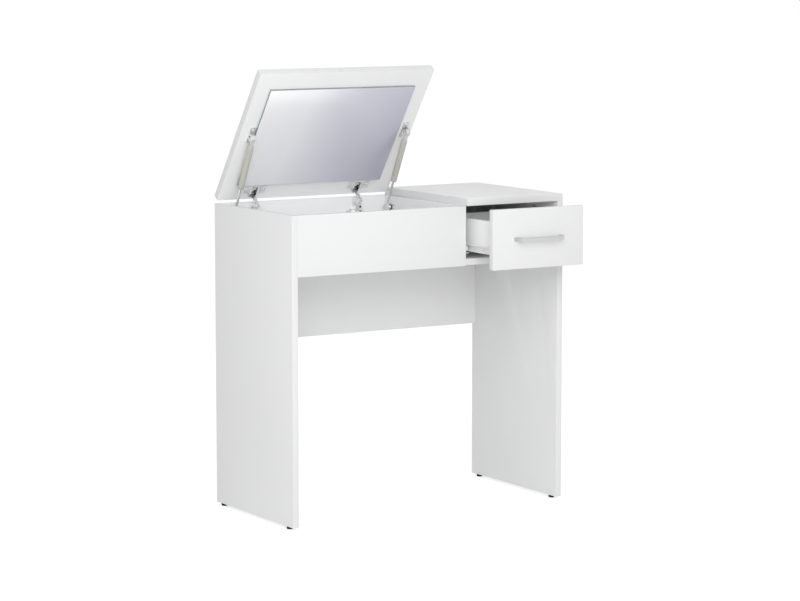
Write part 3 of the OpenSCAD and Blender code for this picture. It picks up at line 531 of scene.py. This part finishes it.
lid = {
    "open": 54.5, "cupRadius": 17.55 * mm, "cupDepth": 11.8 * mm, "cupIn": 21.7 * mm, "cupSides": 64,
}
topLow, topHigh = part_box("fixed_top")
lidLow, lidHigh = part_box("lid_panel")
shutLow = Vector((lidLow.x, topLow.y, topLow.z))
shutHigh = Vector((lidHigh.x, topHigh.y, topHigh.z))
hingeLine = Vector(findJoint("lid_hinge")["pos_m"])
openLid = (Matrix.Translation(hingeLine) @ Matrix.Rotation(-math.radians(lid["open"]), 4, "X")
           @ Matrix.Translation(-hingeLine))
lidWay = (openLid.to_3x3() @ zWay).normalized()  # out of the lid's upper face
hingeX = [sum(corner.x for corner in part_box("hinge_plate_" + hand)) / 2 for hand in hands]
cupMiddles = [Vector((x, shutHigh.y - lid["cupIn"], shutLow.z)) for x in hingeX]

lidBoard = addBlock("lidBoard", shutLow, shutHigh)
for middle in cupMiddles:
    cutAway(lidBoard, addRod("cupBore", middle - zWay * mm, middle + zWay * lid["cupDepth"],
                             lid["cupRadius"], lid["cupSides"]))
roundEdges(lidBoard, boardShape["edge"], boardShape["segments"])
bandBoard(lidBoard, shutLow, shutHigh, laminateFace)
finishPiece(applyPlace(lidBoard, openLid), "lid", "white_laminate", None, "lid_panel")
print("lid made")


# Mirror: a sheet of glass with ground edges, silvered behind, with a painted reflection in its colour that
# is light at the upper left and darker to the lower right

mirror = {
    "width": 395 * mm, "height": 289 * mm, "glass": 4 * mm, "tape": 1 * mm, "fromBack": 45.5 * mm,
    "edge": 0.7 * mm, "facing": 0.99,
    "paintedReflection": [  # painted reflection, light at the upper left and darker to the lower right: place on the ramp, colour
        (0.0, (0.97, 0.972, 0.98)), (0.28, (0.92, 0.93, 0.965)), (0.62, (0.70, 0.705, 0.785)),
        (1.0, (0.54, 0.54, 0.65)),
    ],
    "lean": -0.2, "reach": 200 * mm,
    "rough": (0.34, 0.37), "edgeTint": (0.22, 0.30, 0.31),
}
mirrorX = (shutLow.x + shutHigh.x) / 2
mirrorTop = shutLow.z - mirror["tape"]
mirrorEnd = shutHigh.y - mirror["fromBack"]


# The base colour is a painted reflection: a ramp across the glass, light at the upper left and darker to
# the lower right
def makeMirrorPaintedReflection():
    material, tree, shader, place = startMaterial(
        "mirrorSilver", Metallic=0.3, Coat_Weight=1.0, Coat_Roughness=0.02, Coat_IOR=1.5)
    middle = openLid @ Vector((mirrorX, mirrorEnd - mirror["height"] / 2, shutLow.z))
    centre = addNode(tree, "ShaderNodeMapping", {"Location": -middle}, vector_type="POINT")
    apart = addNode(tree, "ShaderNodeSeparateXYZ")
    slope = addNode(tree, "ShaderNodeMath", {1: mirror["lean"]}, operation="MULTIPLY_ADD")
    spread = addNode(tree, "ShaderNodeMapRange",
                     {"From Min": -mirror["reach"], "From Max": mirror["reach"]})
    ramp = addNode(tree, "ShaderNodeValToRGB")
    stops = ramp.color_ramp.elements
    for k, (at, color) in enumerate(mirror["paintedReflection"]):
        stop = stops[k] if k < 2 else stops.new(at)
        stop.position, stop.color = at, (*color, 1)
    drift = placeGroup(tree, driftGroup, place, Scale=9.0, Low=mirror["rough"][0], High=mirror["rough"][1])
    tree.links.new(place, centre.inputs["Vector"])
    tree.links.new(centre.outputs["Vector"], apart.inputs["Vector"])
    tree.links.new(apart.outputs["Z"], slope.inputs[0])
    tree.links.new(apart.outputs["X"], slope.inputs[2])
    tree.links.new(slope.outputs["Value"], spread.inputs["Value"])
    tree.links.new(spread.outputs["Result"], ramp.inputs["Fac"])
    tree.links.new(ramp.outputs["Color"], shader.inputs["Base Color"])
    tree.links.new(drift.outputs["Value"], shader.inputs["Roughness"])
    return material


mirrorSilver = makeMirrorPaintedReflection()
mirrorEdge = coatedMaterial("mirrorEdge", mirror["edgeTint"], (60.0, 0.12, 0.25), tint=(40.0, 0.8, 1.1),
                            pearl=(1500.0, 600.0, 0.5), relief=(0.1, 0.02 * mm), Coat_Weight=0.5)
glassLow = Vector((mirrorX - mirror["width"] / 2, mirrorEnd - mirror["height"],
                   mirrorTop - mirror["glass"]))
glassHigh = Vector((mirrorX + mirror["width"] / 2, mirrorEnd, mirrorTop))
glass = roundEdges(addBlock("mirrorGlass", glassLow, glassHigh), mirror["edge"])
for material in (mirrorSilver, mirrorEdge):
    glass.data.materials.append(material)
for polygon in glass.data.polygons:
    polygon.material_index = 0 if polygon.normal.z < -mirror["facing"] else 1
finishPiece(applyPlace(glass, openLid), "lid", "mirror_glass", None, "mirror_glass")
print("mirror made")


# Screws: a pan head with a cross recess on a plain shank

screw = {
    "head": 3.25 * mm, "height": 1.8 * mm, "shank": 1.5 * mm, "length": 12 * mm,
    "crossWidth": 0.9 * mm, "crossLength": 3.8 * mm, "crossDepth": 1.2 * mm,
    "tip": 0.3, "turn": 0.35, "sides": 32,
    "dome": [  # share of the head's height, share of its radius
        (0, 0.97), (0.12, 1), (0.45, 0.97), (0.75, 0.82), (0.94, 0.56), (1, 0.3),
    ],
}


def makeScrew(name, size):
    height, shank, length = size["height"], size["shank"], size["length"]
    piece = addTurned(name, [
        (-length, shank * screw["tip"]), (-length + min(2 * shank, length / 2), shank), (0, shank),
        *((height * up, size["head"] * out) for up, out in screw["dome"])], sides=screw["sides"])
    long, wide = size["crossLength"] / 2, size["crossWidth"] / 2
    cutAway(piece, *[addBlock("crossBar", (-a, -b, height - size["crossDepth"]), (a, b, height + mm))
                     for a, b in ((long, wide), (wide, long))])
    smoothFaces(piece)
    return piece


screwMaster = makeScrew("screwMaster", screw)
for name, node, body in (("caseScrews", "case_screws", "case"), ("lidScrews", "lid_screws", "lid"),
                         ("drawerScrews", "drawer_screws", "drawer")):
    copies = [copyTo(screwMaster, name, Matrix.Translation(middle - way * screw["height"]) @ turnTo(way)
                     @ Matrix.Rotation(screw["turn"] * k, 4, "Z"))
              for k, (middle, way) in enumerate(widestFaces(node))]
    finishPiece(joinAll(copies, name), body, "fitting_steel", [zincPlate], node)
bpy.data.objects.remove(screwMaster)
print("screws placed")


# Cams: a die-cast drum with a raised rim and a cross for the driver

cam = {
    "radius": 7.5 * mm, "height": 11.7 * mm, "bar": 1.5 * mm, "cross": 8.5 * mm, "deep": 2.2 * mm,
    "side": [(0, 0.4), (0.4, 0), (3, 0), (3.3, 0.5), (8.3, 0.5), (8.6, 0)],  # height and step in, in mm
    "face": [(0.3, 0), (0, 0.3), (0, 1.2), (0.5, 1.6)],  # depth under the top and step in, in mm
    "middle": 0.5 * mm, "turn": 0.5, "sides": 40,
}
camMaster = addTurned("camMaster", [
    *((up * mm, cam["radius"] - step * mm) for up, step in cam["side"]),
    *((cam["height"] - down * mm, cam["radius"] - step * mm) for down, step in cam["face"]),
    (cam["height"] - cam["face"][-1][0] * mm, cam["middle"])], sides=cam["sides"])
cutAway(camMaster, *[addBlock("camSlot", (-a / 2, -b / 2, cam["height"] - cam["deep"]),
                              (a / 2, b / 2, cam["height"] + mm))
                     for a, b in ((cam["cross"], cam["bar"]), (cam["bar"], cam["cross"]))])
smoothFaces(camMaster)
cams = [copyTo(camMaster, "camLock", Matrix.Translation(middle) @ turnTo(way)
               @ Matrix.Rotation(cam["turn"] * k, 4, "Z"))
        for k, (middle, way) in enumerate(camPlaces)]
bpy.data.objects.remove(camMaster)
finishPiece(joinAll(cams, "camLocks"), "case", "fitting_steel", [zincPlate], "cam_locks")
print("cams placed")


# Glides: a domed plastic foot under each corner, on its nail

glide = {
    "radius": 7.5 * mm, "height": 6 * mm, "nail": 1 * mm, "sides": 40,
    "foot": [(0, 0.78), (0.25, 0.88), (0.8, 0.96), (1.8, 1)],  # height in mm, share of the radius
    "chamferDown": 0.5 * mm, "chamferIn": 0.4 * mm,
}
for corner in ("front_left", "front_right", "rear_left", "rear_right"):
    low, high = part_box("glide_" + corner)
    middle = Vector(((low.x + high.x) / 2, (low.y + high.y) / 2, 0))
    r, h = glide["radius"], glide["height"]
    foot = addTurned("glide_" + corner + "_foot", [
        *((up * mm, r * share) for up, share in glide["foot"]),
        (h - glide["chamferDown"], r), (h, r - glide["chamferIn"]), (h, glide["nail"]),
        (high.z, glide["nail"])], Matrix.Translation(middle), sides=glide["sides"])
    finishPiece(foot, "case", "glide_plastic", [glidePlastic], "glide_" + corner)
print("glides made")


# Hinges: cup with its flange and inner works, link, arm with its screws, and mounting plate

hinge = {
    "cupRound": 0.3 * mm, "linkRound": 0.35 * mm, "armRound": 0.4 * mm, "pinRound": 0.2 * mm,
    "springRound": 0.4 * mm, "worksRound": 0.25 * mm, "coverRound": 0.2 * mm, "shieldRound": 0.3 * mm,
    "floorDeep": 10.5 * mm, "pinIn": 9 * mm, "pinDeep": 4 * mm,
    # Blocks by two corners, in mm: two from the cup's floor, one beside the link's pin in the cup, two
    # from the lid's lower back edge, and the cheeks from the arm's back at that edge's height
    "spring": ((-2.8, -9, -4.8), (2.8, 4, -2.5)), "springPlate": ((-8.5, -11.5, -2.6), (8.5, 7.5, 0)),
    "ear": ((-0.7, -5, -2.4), (0.7, 2.4, 5.5)), "earOut": 8.2 * mm,
    "slot": ((-7.4, -34.5, -1), (7.4, 0, 3)), "tongue": ((-3.6, -32, 1.2), (3.6, -27, 2.4)),
    "cheeks": (((-6.35, -16.5, -20), (-5, 0, -1.8)), ((5, -16.5, -20), (6.35, 0, -1.8))),
    "stubStart": 3.9 * mm, "stubEnd": 10.2 * mm, "stubRadius": 1.4 * mm, "stubSides": 24,
    "cover": [(0.3, 16), (0.5, 16.3), (1.1, 16.3)], "coverSides": 64,  # depth and radius in mm
    "shieldWide": 5.8 * mm, "shieldThick": 0.8 * mm, "shieldStart": 9.5 * mm, "shieldEnd": 5 * mm,
    "linkFront": 1.45 * mm,
    "plateHeight": 7.5 * mm, "screwSunk": 1.8 * mm,
    "adjusterUp": 11.5 * mm, "adjusterSunk": 2.2 * mm, "adjusterRadius": 3.2 * mm, "adjusterSides": 32,
}
armScrew = {
    "head": 2.9 * mm, "height": 1.5 * mm, "shank": 1.4 * mm, "length": 1 * mm,
    "crossWidth": 0.9 * mm, "crossLength": 4.2 * mm, "crossDepth": 1.2 * mm,
}


def blockFrom(name, point, corners):  # a block whose corners are given in mm from a point
    return addBlock(name, *([start + step * mm for start, step in zip(point, corner)]
                            for corner in corners))


for hand, x, cupMiddle in zip(hands, hingeX, cupMiddles):
    cup = softCopy("hingeCup_" + hand, "hinge_cup_" + hand, hinge["cupRound"])
    finishPiece(cup, "lid", "hinge_steel", [hingeNickel], "hinge_cup_" + hand)

    # Works of the cup: a spring on a folded plate on its floor, and the stubs that carry the link; the
    # plate, stubs and ears are dark steel as painted shade deep in the cup
    floor = cupMiddle + zWay * hinge["floorDeep"]
    spring = addBlock("cupSpring_" + hand, *(floor + Vector(corner) * mm for corner in hinge["spring"]))
    roundEdges(spring, hinge["springRound"])
    finishPiece(applyPlace(spring, openLid), "lid", "hinge_steel", [hingeNickel])
    works = [addBlock("springPlate", *(floor + Vector(corner) * mm for corner in hinge["springPlate"]))]
    pin = (shutHigh.y - hinge["pinIn"], shutLow.z + hinge["pinDeep"])
    for side in (-1, 1):
        stub = [(x + side * reach, *pin) for reach in (hinge["stubStart"], hinge["stubEnd"])]
        works.append(addRod("pinStub", *stub, hinge["stubRadius"], hinge["stubSides"]))
        works.append(blockFrom("pinEar", (x + side * hinge["earOut"], *pin), hinge["ear"]))
    works = roundEdges(joinAll(works, "hingeWorks_" + hand), hinge["worksRound"])
    finishPiece(applyPlace(works, openLid), "lid", "hinge_steel", [darkSteel])

    # A pressed cover sunk in the cup's mouth, slotted for the link, with a tongue in the slot
    backEdge = (x, shutHigh.y, shutLow.z)
    cover = addTurned("cupCover_" + hand, [(deep * mm, radius * mm) for deep, radius in hinge["cover"]],
                      Matrix.Translation(cupMiddle), sides=hinge["coverSides"])
    cutAway(cover, blockFrom("linkSlot", backEdge, hinge["slot"]))
    cover = joinAll([cover, blockFrom("tongue", backEdge, hinge["tongue"])], "cupCover_" + hand)
    roundEdges(cover, hinge["coverRound"])
    finishPiece(applyPlace(cover, openLid), "lid", "hinge_steel", [hingeNickel])

    link = softCopy("hingeLink_" + hand, "hinge_link_" + hand, hinge["linkRound"])
    finishPiece(link, "hinge_link_" + hand, "hinge_steel", [hingeNickel], "hinge_link_" + hand)

    # A wide pressed cover on the link's front
    linkStart = Vector(findJoint("hinge_link_" + hand + "_pivot")["pos_m"])
    linkStart.x = x
    linkWay = openLid @ Vector((x, *pin)) - linkStart
    linkLength = linkWay.length
    linkWay.normalize()
    turn = Matrix((xWay, linkWay.cross(xWay), linkWay)).transposed().to_4x4()
    wide, front = hinge["shieldWide"], -hinge["linkFront"]
    shield = roundEdges(addBlock(
        "linkCover_" + hand, (-wide, front - hinge["shieldThick"], hinge["shieldStart"]),
        (wide, front, linkLength - hinge["shieldEnd"])), hinge["shieldRound"])
    applyPlace(shield, Matrix.Translation(linkStart) @ turn)
    finishPiece(shield, "hinge_link_" + hand, "hinge_steel", [hingeNickel])

    arm = softCopy("hingeArm_" + hand, "hinge_arm_" + hand, 0)
    armLow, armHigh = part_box("hinge_arm_" + hand)
    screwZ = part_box("hinge_plate_" + hand)[0].z + hinge["plateHeight"]
    adjusterZ = screwZ + hinge["adjusterUp"]
    bore = [(x, armLow.y + down, adjusterZ) for down in (-mm, hinge["adjusterSunk"])]
    cutAway(arm, addRod("adjusterBore", *bore, hinge["adjusterRadius"], hinge["adjusterSides"]))
    roundEdges(arm, hinge["armRound"], 3)
    finishPiece(arm, "case", "hinge_steel", [hingeNickel], "hinge_arm_" + hand)
    plate = softCopy("hingePlate_" + hand, "hinge_plate_" + hand, hinge["armRound"])
    finishPiece(plate, "case", "hinge_steel", [hingeNickel], "hinge_plate_" + hand)

    # The arm's fixing screw and its adjuster, in their recesses
    armScrews = [applyPlace(makeScrew("armScrew", armScrew),
                            Matrix.Translation((x, armLow.y + sunk, z)) @ turnTo(-yWay))
                 for z, sunk in ((screwZ, hinge["screwSunk"]), (adjusterZ, hinge["adjusterSunk"]))]
    finishPiece(joinAll(armScrews, "armScrews_" + hand), "case", "hinge_steel", [darkSteel])

    # Cheeks that carry the arm up to the case top
    cheeks = [blockFrom("cheek", (x, armHigh.y, shutLow.z), corners) for corners in hinge["cheeks"]]
    cheeks = roundEdges(joinAll(cheeks, "armCheeks_" + hand), hinge["armRound"], 3)
    finishPiece(cheeks, "case", "hinge_steel", [hingeNickel])
finishPiece(softCopy("hingePins", "hinge_pins", hinge["pinRound"]), "case", "hinge_steel", [darkSteel],
            "hinge_pins")
print("hinges made")


# Strut brackets: a windowed tab with its ball on the lid, its window filled by a thin dark sheet as painted
# shade, and a plate with its boss on the case

bracket = {
    "window": 4.6 * mm, "windowDown": 6.2 * mm, "tabIn": 5.3 * mm, "round": 0.35 * mm,
    "cutHalf": 20 * mm, "shadeHalf": 0.6 * mm, "shadeOver": 0.2 * mm,
    "ring": 6.4 * mm, "ringTube": 0.8 * mm, "ringOut": 2.9 * mm, "ringSides": 10,
}
strutTops = {hand: Vector(findJoint("strut_" + hand + "_pivot")["pos_m"]) for hand in hands}
for hand, side in zip(hands, (1, -1)):
    upper = softCopy("lidBracket_" + hand, "lid_bracket_" + hand, 0)
    alongLid = xWay.cross(lidWay)
    turn = Matrix((alongLid, lidWay, alongLid.cross(lidWay))).transposed().to_4x4()
    middle = strutTops[hand] + lidWay * bracket["windowDown"] - xWay * side * bracket["tabIn"]
    # The window is cut through the tab, and a thin dark sheet a little larger is set in it as painted shade
    cutter, windowShade = [
        addTurned("window", [(-reach, radius), (reach, radius)], Matrix.Translation(middle) @ turn, sides=3)
        for reach, radius in ((bracket["cutHalf"], bracket["window"]),
                              (bracket["shadeHalf"], bracket["window"] + bracket["shadeOver"]))]
    cutAway(upper, cutter)
    roundEdges(upper, bracket["round"])
    finishPiece(upper, "lid", "fitting_steel", [zincPlate], "lid_bracket_" + hand)
    windowShade.name = windowShade.data.name = "bracketPad_" + hand
    finishPiece(windowShade, "lid", "strut_plastic", [ringRubber])

    lower = softCopy("caseBracket_" + hand, "case_bracket_" + hand, bracket["round"])
    finishPiece(lower, "case", "fitting_steel", [zincPlate], "case_bracket_" + hand)
    low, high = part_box("case_bracket_" + hand)
    wall = low.x if hand == "left" else high.x
    middle = Vector((wall + side * bracket["ringOut"], (low.y + high.y) / 2, (low.z + high.z) / 2))
    angles = [2 * math.pi * k / bracket["ringSides"] for k in range(bracket["ringSides"])]
    ring = addTurned("bossRing_" + hand, [
        (bracket["ringTube"] * math.cos(angle), bracket["ring"] + bracket["ringTube"] * math.sin(angle))
        for angle in angles], Matrix.Translation(middle) @ turnTo(xWay), ring=True)
    finishPiece(ring, "case", "strut_plastic", [ringRubber])
print("brackets made")


# Gas struts: a lacquered cylinder rolled in at both ends, its gland, a chromed rod and plastic ends

strut = {
    "start": 20 * mm, "length": 118 * mm, "radius": 7.5 * mm, "rod": 3 * mm, "foot": 14 * mm,
    "piston": 6 * mm, "pistonLong": 6 * mm, "pistonPlay": 0.3 * mm,
    "gland": 8 * mm, "glandSunk": 1.3 * mm, "glandPlay": 0.05 * mm, "inner": 4 * mm, "middle": 0.5 * mm,
    # Distance in mm from the start or the end, share of the radius
    "startCurve": [(0, 0.62), (0.4, 0.78), (1.4, 0.93), (3, 1)],
    "endCurve": [(11, 1), (10.4, 0.93), (9.2, 0.93), (8.6, 1), (2.6, 1), (1.1, 0.95), (0.3, 0.83), (0, 0.7),
                 (0.1, 0.62), (1.2, 0.6)],
    "neckCurve": [(1.5, 1), (1, 0.8), (0, 0.8)], "rodSides": 32, "socketRound": 0.6 * mm,
}
low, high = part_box("case_bracket_left")
strutReach = (strutTops["left"]
              - Vector((strutTops["left"].x, (low.y + high.y) / 2, (low.z + high.z) / 2))).length
for hand in hands:
    way = Vector(findJoint("strut_" + hand + "_slide")["axis"]).normalized()
    place = Matrix.Translation(strutTops[hand]) @ turnTo(way)
    begin, end, r = strut["start"], strut["start"] + strut["length"], strut["radius"]
    bore, chamber = strut["rod"] + strut["glandPlay"], strut["piston"] + strut["pistonPlay"]
    cylinder = addTurned("strutCylinder_" + hand, [
        *((begin + up * mm, r * share) for up, share in strut["startCurve"]),
        *((end - down * mm, r * share) for down, share in strut["endCurve"]),
        (end - strut["glandSunk"], bore), (end - strut["gland"], bore), (end - strut["gland"], chamber),
        (begin + strut["inner"], chamber), (begin + strut["inner"], strut["middle"])], place)
    finishPiece(cylinder, "strut_cylinder_" + hand, "strut_paint", [strutLacquer], "strut_cylinder_" + hand)

    pistonEnd = end - strut["gland"] - strut["pistonPlay"]
    pistonStart, rodEnd = pistonEnd - strut["pistonLong"], strutReach - strut["foot"]
    rod = addTurned("strutRod_" + hand, [
        (pistonStart, strut["rod"]), (pistonStart, strut["piston"]), (pistonEnd, strut["piston"]),
        (pistonEnd, strut["rod"]),
        *((rodEnd - down * mm, strut["rod"] * share) for down, share in strut["neckCurve"])],
        place, sides=strut["rodSides"])
    finishPiece(rod, "strut_rod_" + hand, "strut_chrome", [rodChrome], "strut_rod_" + hand)

    socket = softCopy("strutSocket_" + hand, "strut_socket_" + hand, strut["socketRound"], 3)
    finishPiece(socket, "strut_cylinder_" + hand, "strut_plastic", [strutPlastic], "strut_socket_" + hand)
    foot = softCopy("strutFoot_" + hand, "strut_foot_" + hand, strut["socketRound"], 3)
    finishPiece(foot, "strut_rod_" + hand, "strut_plastic", [strutPlastic], "strut_foot_" + hand)
print("struts made")


# Roller slides: pressed members with slots and holes, nylon rollers on riveted pins

slide = {
    "hole": 2.1 * mm, "cutHalf": 2.5 * mm, "round": 0.3 * mm, "arcSteps": 16,
    "holes": [  # place along the member, length of the slot
        (0.14, 0), (0.42, 12 * mm), (0.58, 0), (0.7, 12 * mm), (0.94, 0),
    ],
}
roller = {
    "width": 7 * mm,
    "face": [  # step in from the side and radius, in mm
        (0, 2.05), (0, 4.2), (0.9, 4.7), (0.9, 6.6), (0, 7.1), (0, 7.9), (0.6, 8.5),
    ],
    "rivet": [(-0.6, 1.9), (0, 1.9), (0, 3.2), (0.12, 3.2), (0.2, 2.56), (0.25, 0.96)],  # height and radius
    "rivetOut": 0.05 * mm, "rivetSides": 32,
}


def slotCutter(middle, length):  # a slot across a slide's web, long in Y
    outline = []
    for end in (1, -1):
        for k in range(slide["arcSteps"] + 1):
            angle = math.pi * (k / slide["arcSteps"] - end / 2)
            outline.append((middle.y + end * length / 2 + slide["hole"] * math.cos(angle),
                            middle.z + slide["hole"] * math.sin(angle)))
    turn = Matrix(((0, 0, 1, 0), (1, 0, 0, 0), (0, 1, 0, 0), (0, 0, 0, 1)))
    return addSheetShape("slotCutter", outline, middle.x - slide["cutHalf"],
                         middle.x + slide["cutHalf"], turn)


half = roller["width"] / 2
wheelProfile = [(step * mm - half, radius * mm) for step, radius in roller["face"]]
wheelProfile += [(-height, radius) for height, radius in reversed(wheelProfile)]
for hand, side in zip(hands, (1, -1)):
    low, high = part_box("case_slide_" + hand)
    wall = low.x if hand == "left" else high.x
    member = softCopy("caseSlide_" + hand, "case_slide_" + hand, 0)
    for share, length in slide["holes"]:
        y = low.y + share * (high.y - low.y)
        cutAway(member, slotCutter(Vector((wall, y, (low.z + high.z) / 2)), length))
    roundEdges(member, slide["round"])
    finishPiece(member, "case", "slide_steel", [powderCoat], "case_slide_" + hand)
    member = softCopy("drawerSlide_" + hand, "drawer_slide_" + hand, slide["round"])
    finishPiece(member, "drawer", "slide_steel", [powderCoat], "drawer_slide_" + hand)

    for end, body, outward in (("front", "case", side), ("rear", "drawer", -side)):
        node = end + "_roller_" + hand
        low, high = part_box(node)
        middle = (low + high) / 2
        wheel = addTurned(end + "Roller_" + hand, wheelProfile,
                          Matrix.Translation(middle) @ turnTo(xWay), ring=True)
        finishPiece(wheel, node, "roller_nylon", [rollerNylon], node)
        face = middle + xWay * outward * (half + roller["rivetOut"])
        rivet = addTurned(end + "Rivet_" + hand, [(up * mm, radius * mm) for up, radius in roller["rivet"]],
                          Matrix.Translation(face) @ turnTo(xWay * outward), sides=roller["rivetSides"])
        finishPiece(rivet, body, "fitting_steel", [zincPlate])
print("slides made")


# Handle: a bent bar with eased edges, and its two screws inside the drawer

handle = {
    "round": 0.3 * mm, "head": 4 * mm, "height": 2.5 * mm, "shank": 2 * mm, "length": 20 * mm,
    "crossWidth": 1.2 * mm, "crossLength": 5 * mm, "crossDepth": 1.6 * mm,
}
finishPiece(softCopy("drawerHandle", "drawer_handle", handle["round"]), "drawer", "handle_metal",
            [handleSatin], "drawer_handle")
heads = [applyPlace(makeScrew("handleScrew", handle),
                    Matrix.Translation(middle - way * handle["height"]) @ turnTo(way))
         for middle, way in widestFaces("handle_screws")]
finishPiece(joinAll(heads, "handleScrews"), "drawer", "fitting_steel", [zincPlate], "handle_screws")
print("handle made")


# The drawer's thin bottom and the steel angles, and the hidden solids that stay as the CAD has them

thinPiece = {"round": 0.3 * mm}
base = roundEdges(addBlock("drawerBase", *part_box("drawer_bottom")), thinPiece["round"])
finishPiece(base, "drawer", "drawer_base", [lacqueredBase], "drawer_bottom")
finishPiece(softCopy("topAngles", "top_angles", thinPiece["round"]), "case", "fitting_steel", [zincPlate],
            "top_angles")
carriedOver = {
    "wood_dowels": rawBeech, "drawer_dowels": rawBeech, "cam_bolts": zincPlate, "mirror_tape": foamTape,
}
for node, material in carriedOver.items():
    for place in frame["nodes"][node].material_slots:
        place.material = material
print("carried-over solids finished")


# Floor, light and camera

studio = {
    "floorSize": 60, "floorDown": 0.5 * mm, "floorColor": (0.82, 0.82, 0.82, 1), "floorGlow": 0.5,
    "white": (1, 1, 1, 1), "worldLevel": 0.60,
    "lamps": [  # name, place, size, power
        ("keyLight", (-2.56, -5.44, 3.83), 4.0, 150),
        ("lowLight", (-2.3, -4.4, 1.35), 2.2, 42),
    ],
    "lampAim": (0, 0, 0.55),
    "camera": (-3.5034, -5.7279, 1.3378), "pitch": 7.111, "yaw": 31.373, "lens": 127.09, "sensor": 36,
}


def seenRays(tree):  # 1 for camera, glossy and transmission rays, 0 for those that light the object
    rays = addNode(tree, "ShaderNodeLightPath")
    seen = rays.outputs["Is Camera Ray"]
    for label in ("Is Glossy Ray", "Is Transmission Ray"):
        either = addNode(tree, "ShaderNodeMath", operation="MAXIMUM")
        tree.links.new(seen, either.inputs[0])
        tree.links.new(rays.outputs[label], either.inputs[1])
        seen = either.outputs["Value"]
    return seen


activate()
bpy.ops.mesh.primitive_plane_add(size=studio["floorSize"], location=(0, 0, -studio["floorDown"]))
floor = bpy.context.object
floor.name = "studioFloor"
floorPaint, tree, shader, place = startMaterial(
    "floorPaint", Roughness=0.9, Base_Color=studio["floorColor"], Emission_Color=studio["white"])
glow = addNode(tree, "ShaderNodeMath", {1: studio["floorGlow"]}, operation="MULTIPLY")
tree.links.new(seenRays(tree), glow.inputs[0])
tree.links.new(glow.outputs["Value"], shader.inputs["Emission Strength"])
floor.data.materials.append(floorPaint)

world = bpy.data.worlds.new("studioWorld")
bpy.context.scene.world = world
world.use_nodes = True
tree = world.node_tree
background = tree.nodes["Background"]
background.inputs["Color"].default_value = studio["white"]
level = addNode(tree, "ShaderNodeMapRange", {"To Min": studio["worldLevel"], "To Max": 1.0})
tree.links.new(seenRays(tree), level.inputs["Value"])
tree.links.new(level.outputs["Result"], background.inputs["Strength"])

for name, place, size, power in studio["lamps"]:
    bpy.ops.object.light_add(type="AREA", location=place)
    lamp = bpy.context.object
    lamp.name = name
    lamp.data.size = size
    lamp.data.energy = power
    lamp.rotation_euler = (Vector(studio["lampAim"]) - lamp.location).to_track_quat("-Z", "Y").to_euler()

bpy.ops.object.camera_add(location=studio["camera"], rotation=(
    math.radians(90 - studio["pitch"]), 0, -math.radians(studio["yaw"])))
camera = bpy.context.object
camera.name = "photoCamera"
camera.data.lens = studio["lens"]
camera.data.sensor_width = studio["sensor"]
bpy.context.scene.camera = camera
bpy.context.scene.view_settings.view_transform = "Standard"
print("studio ready")
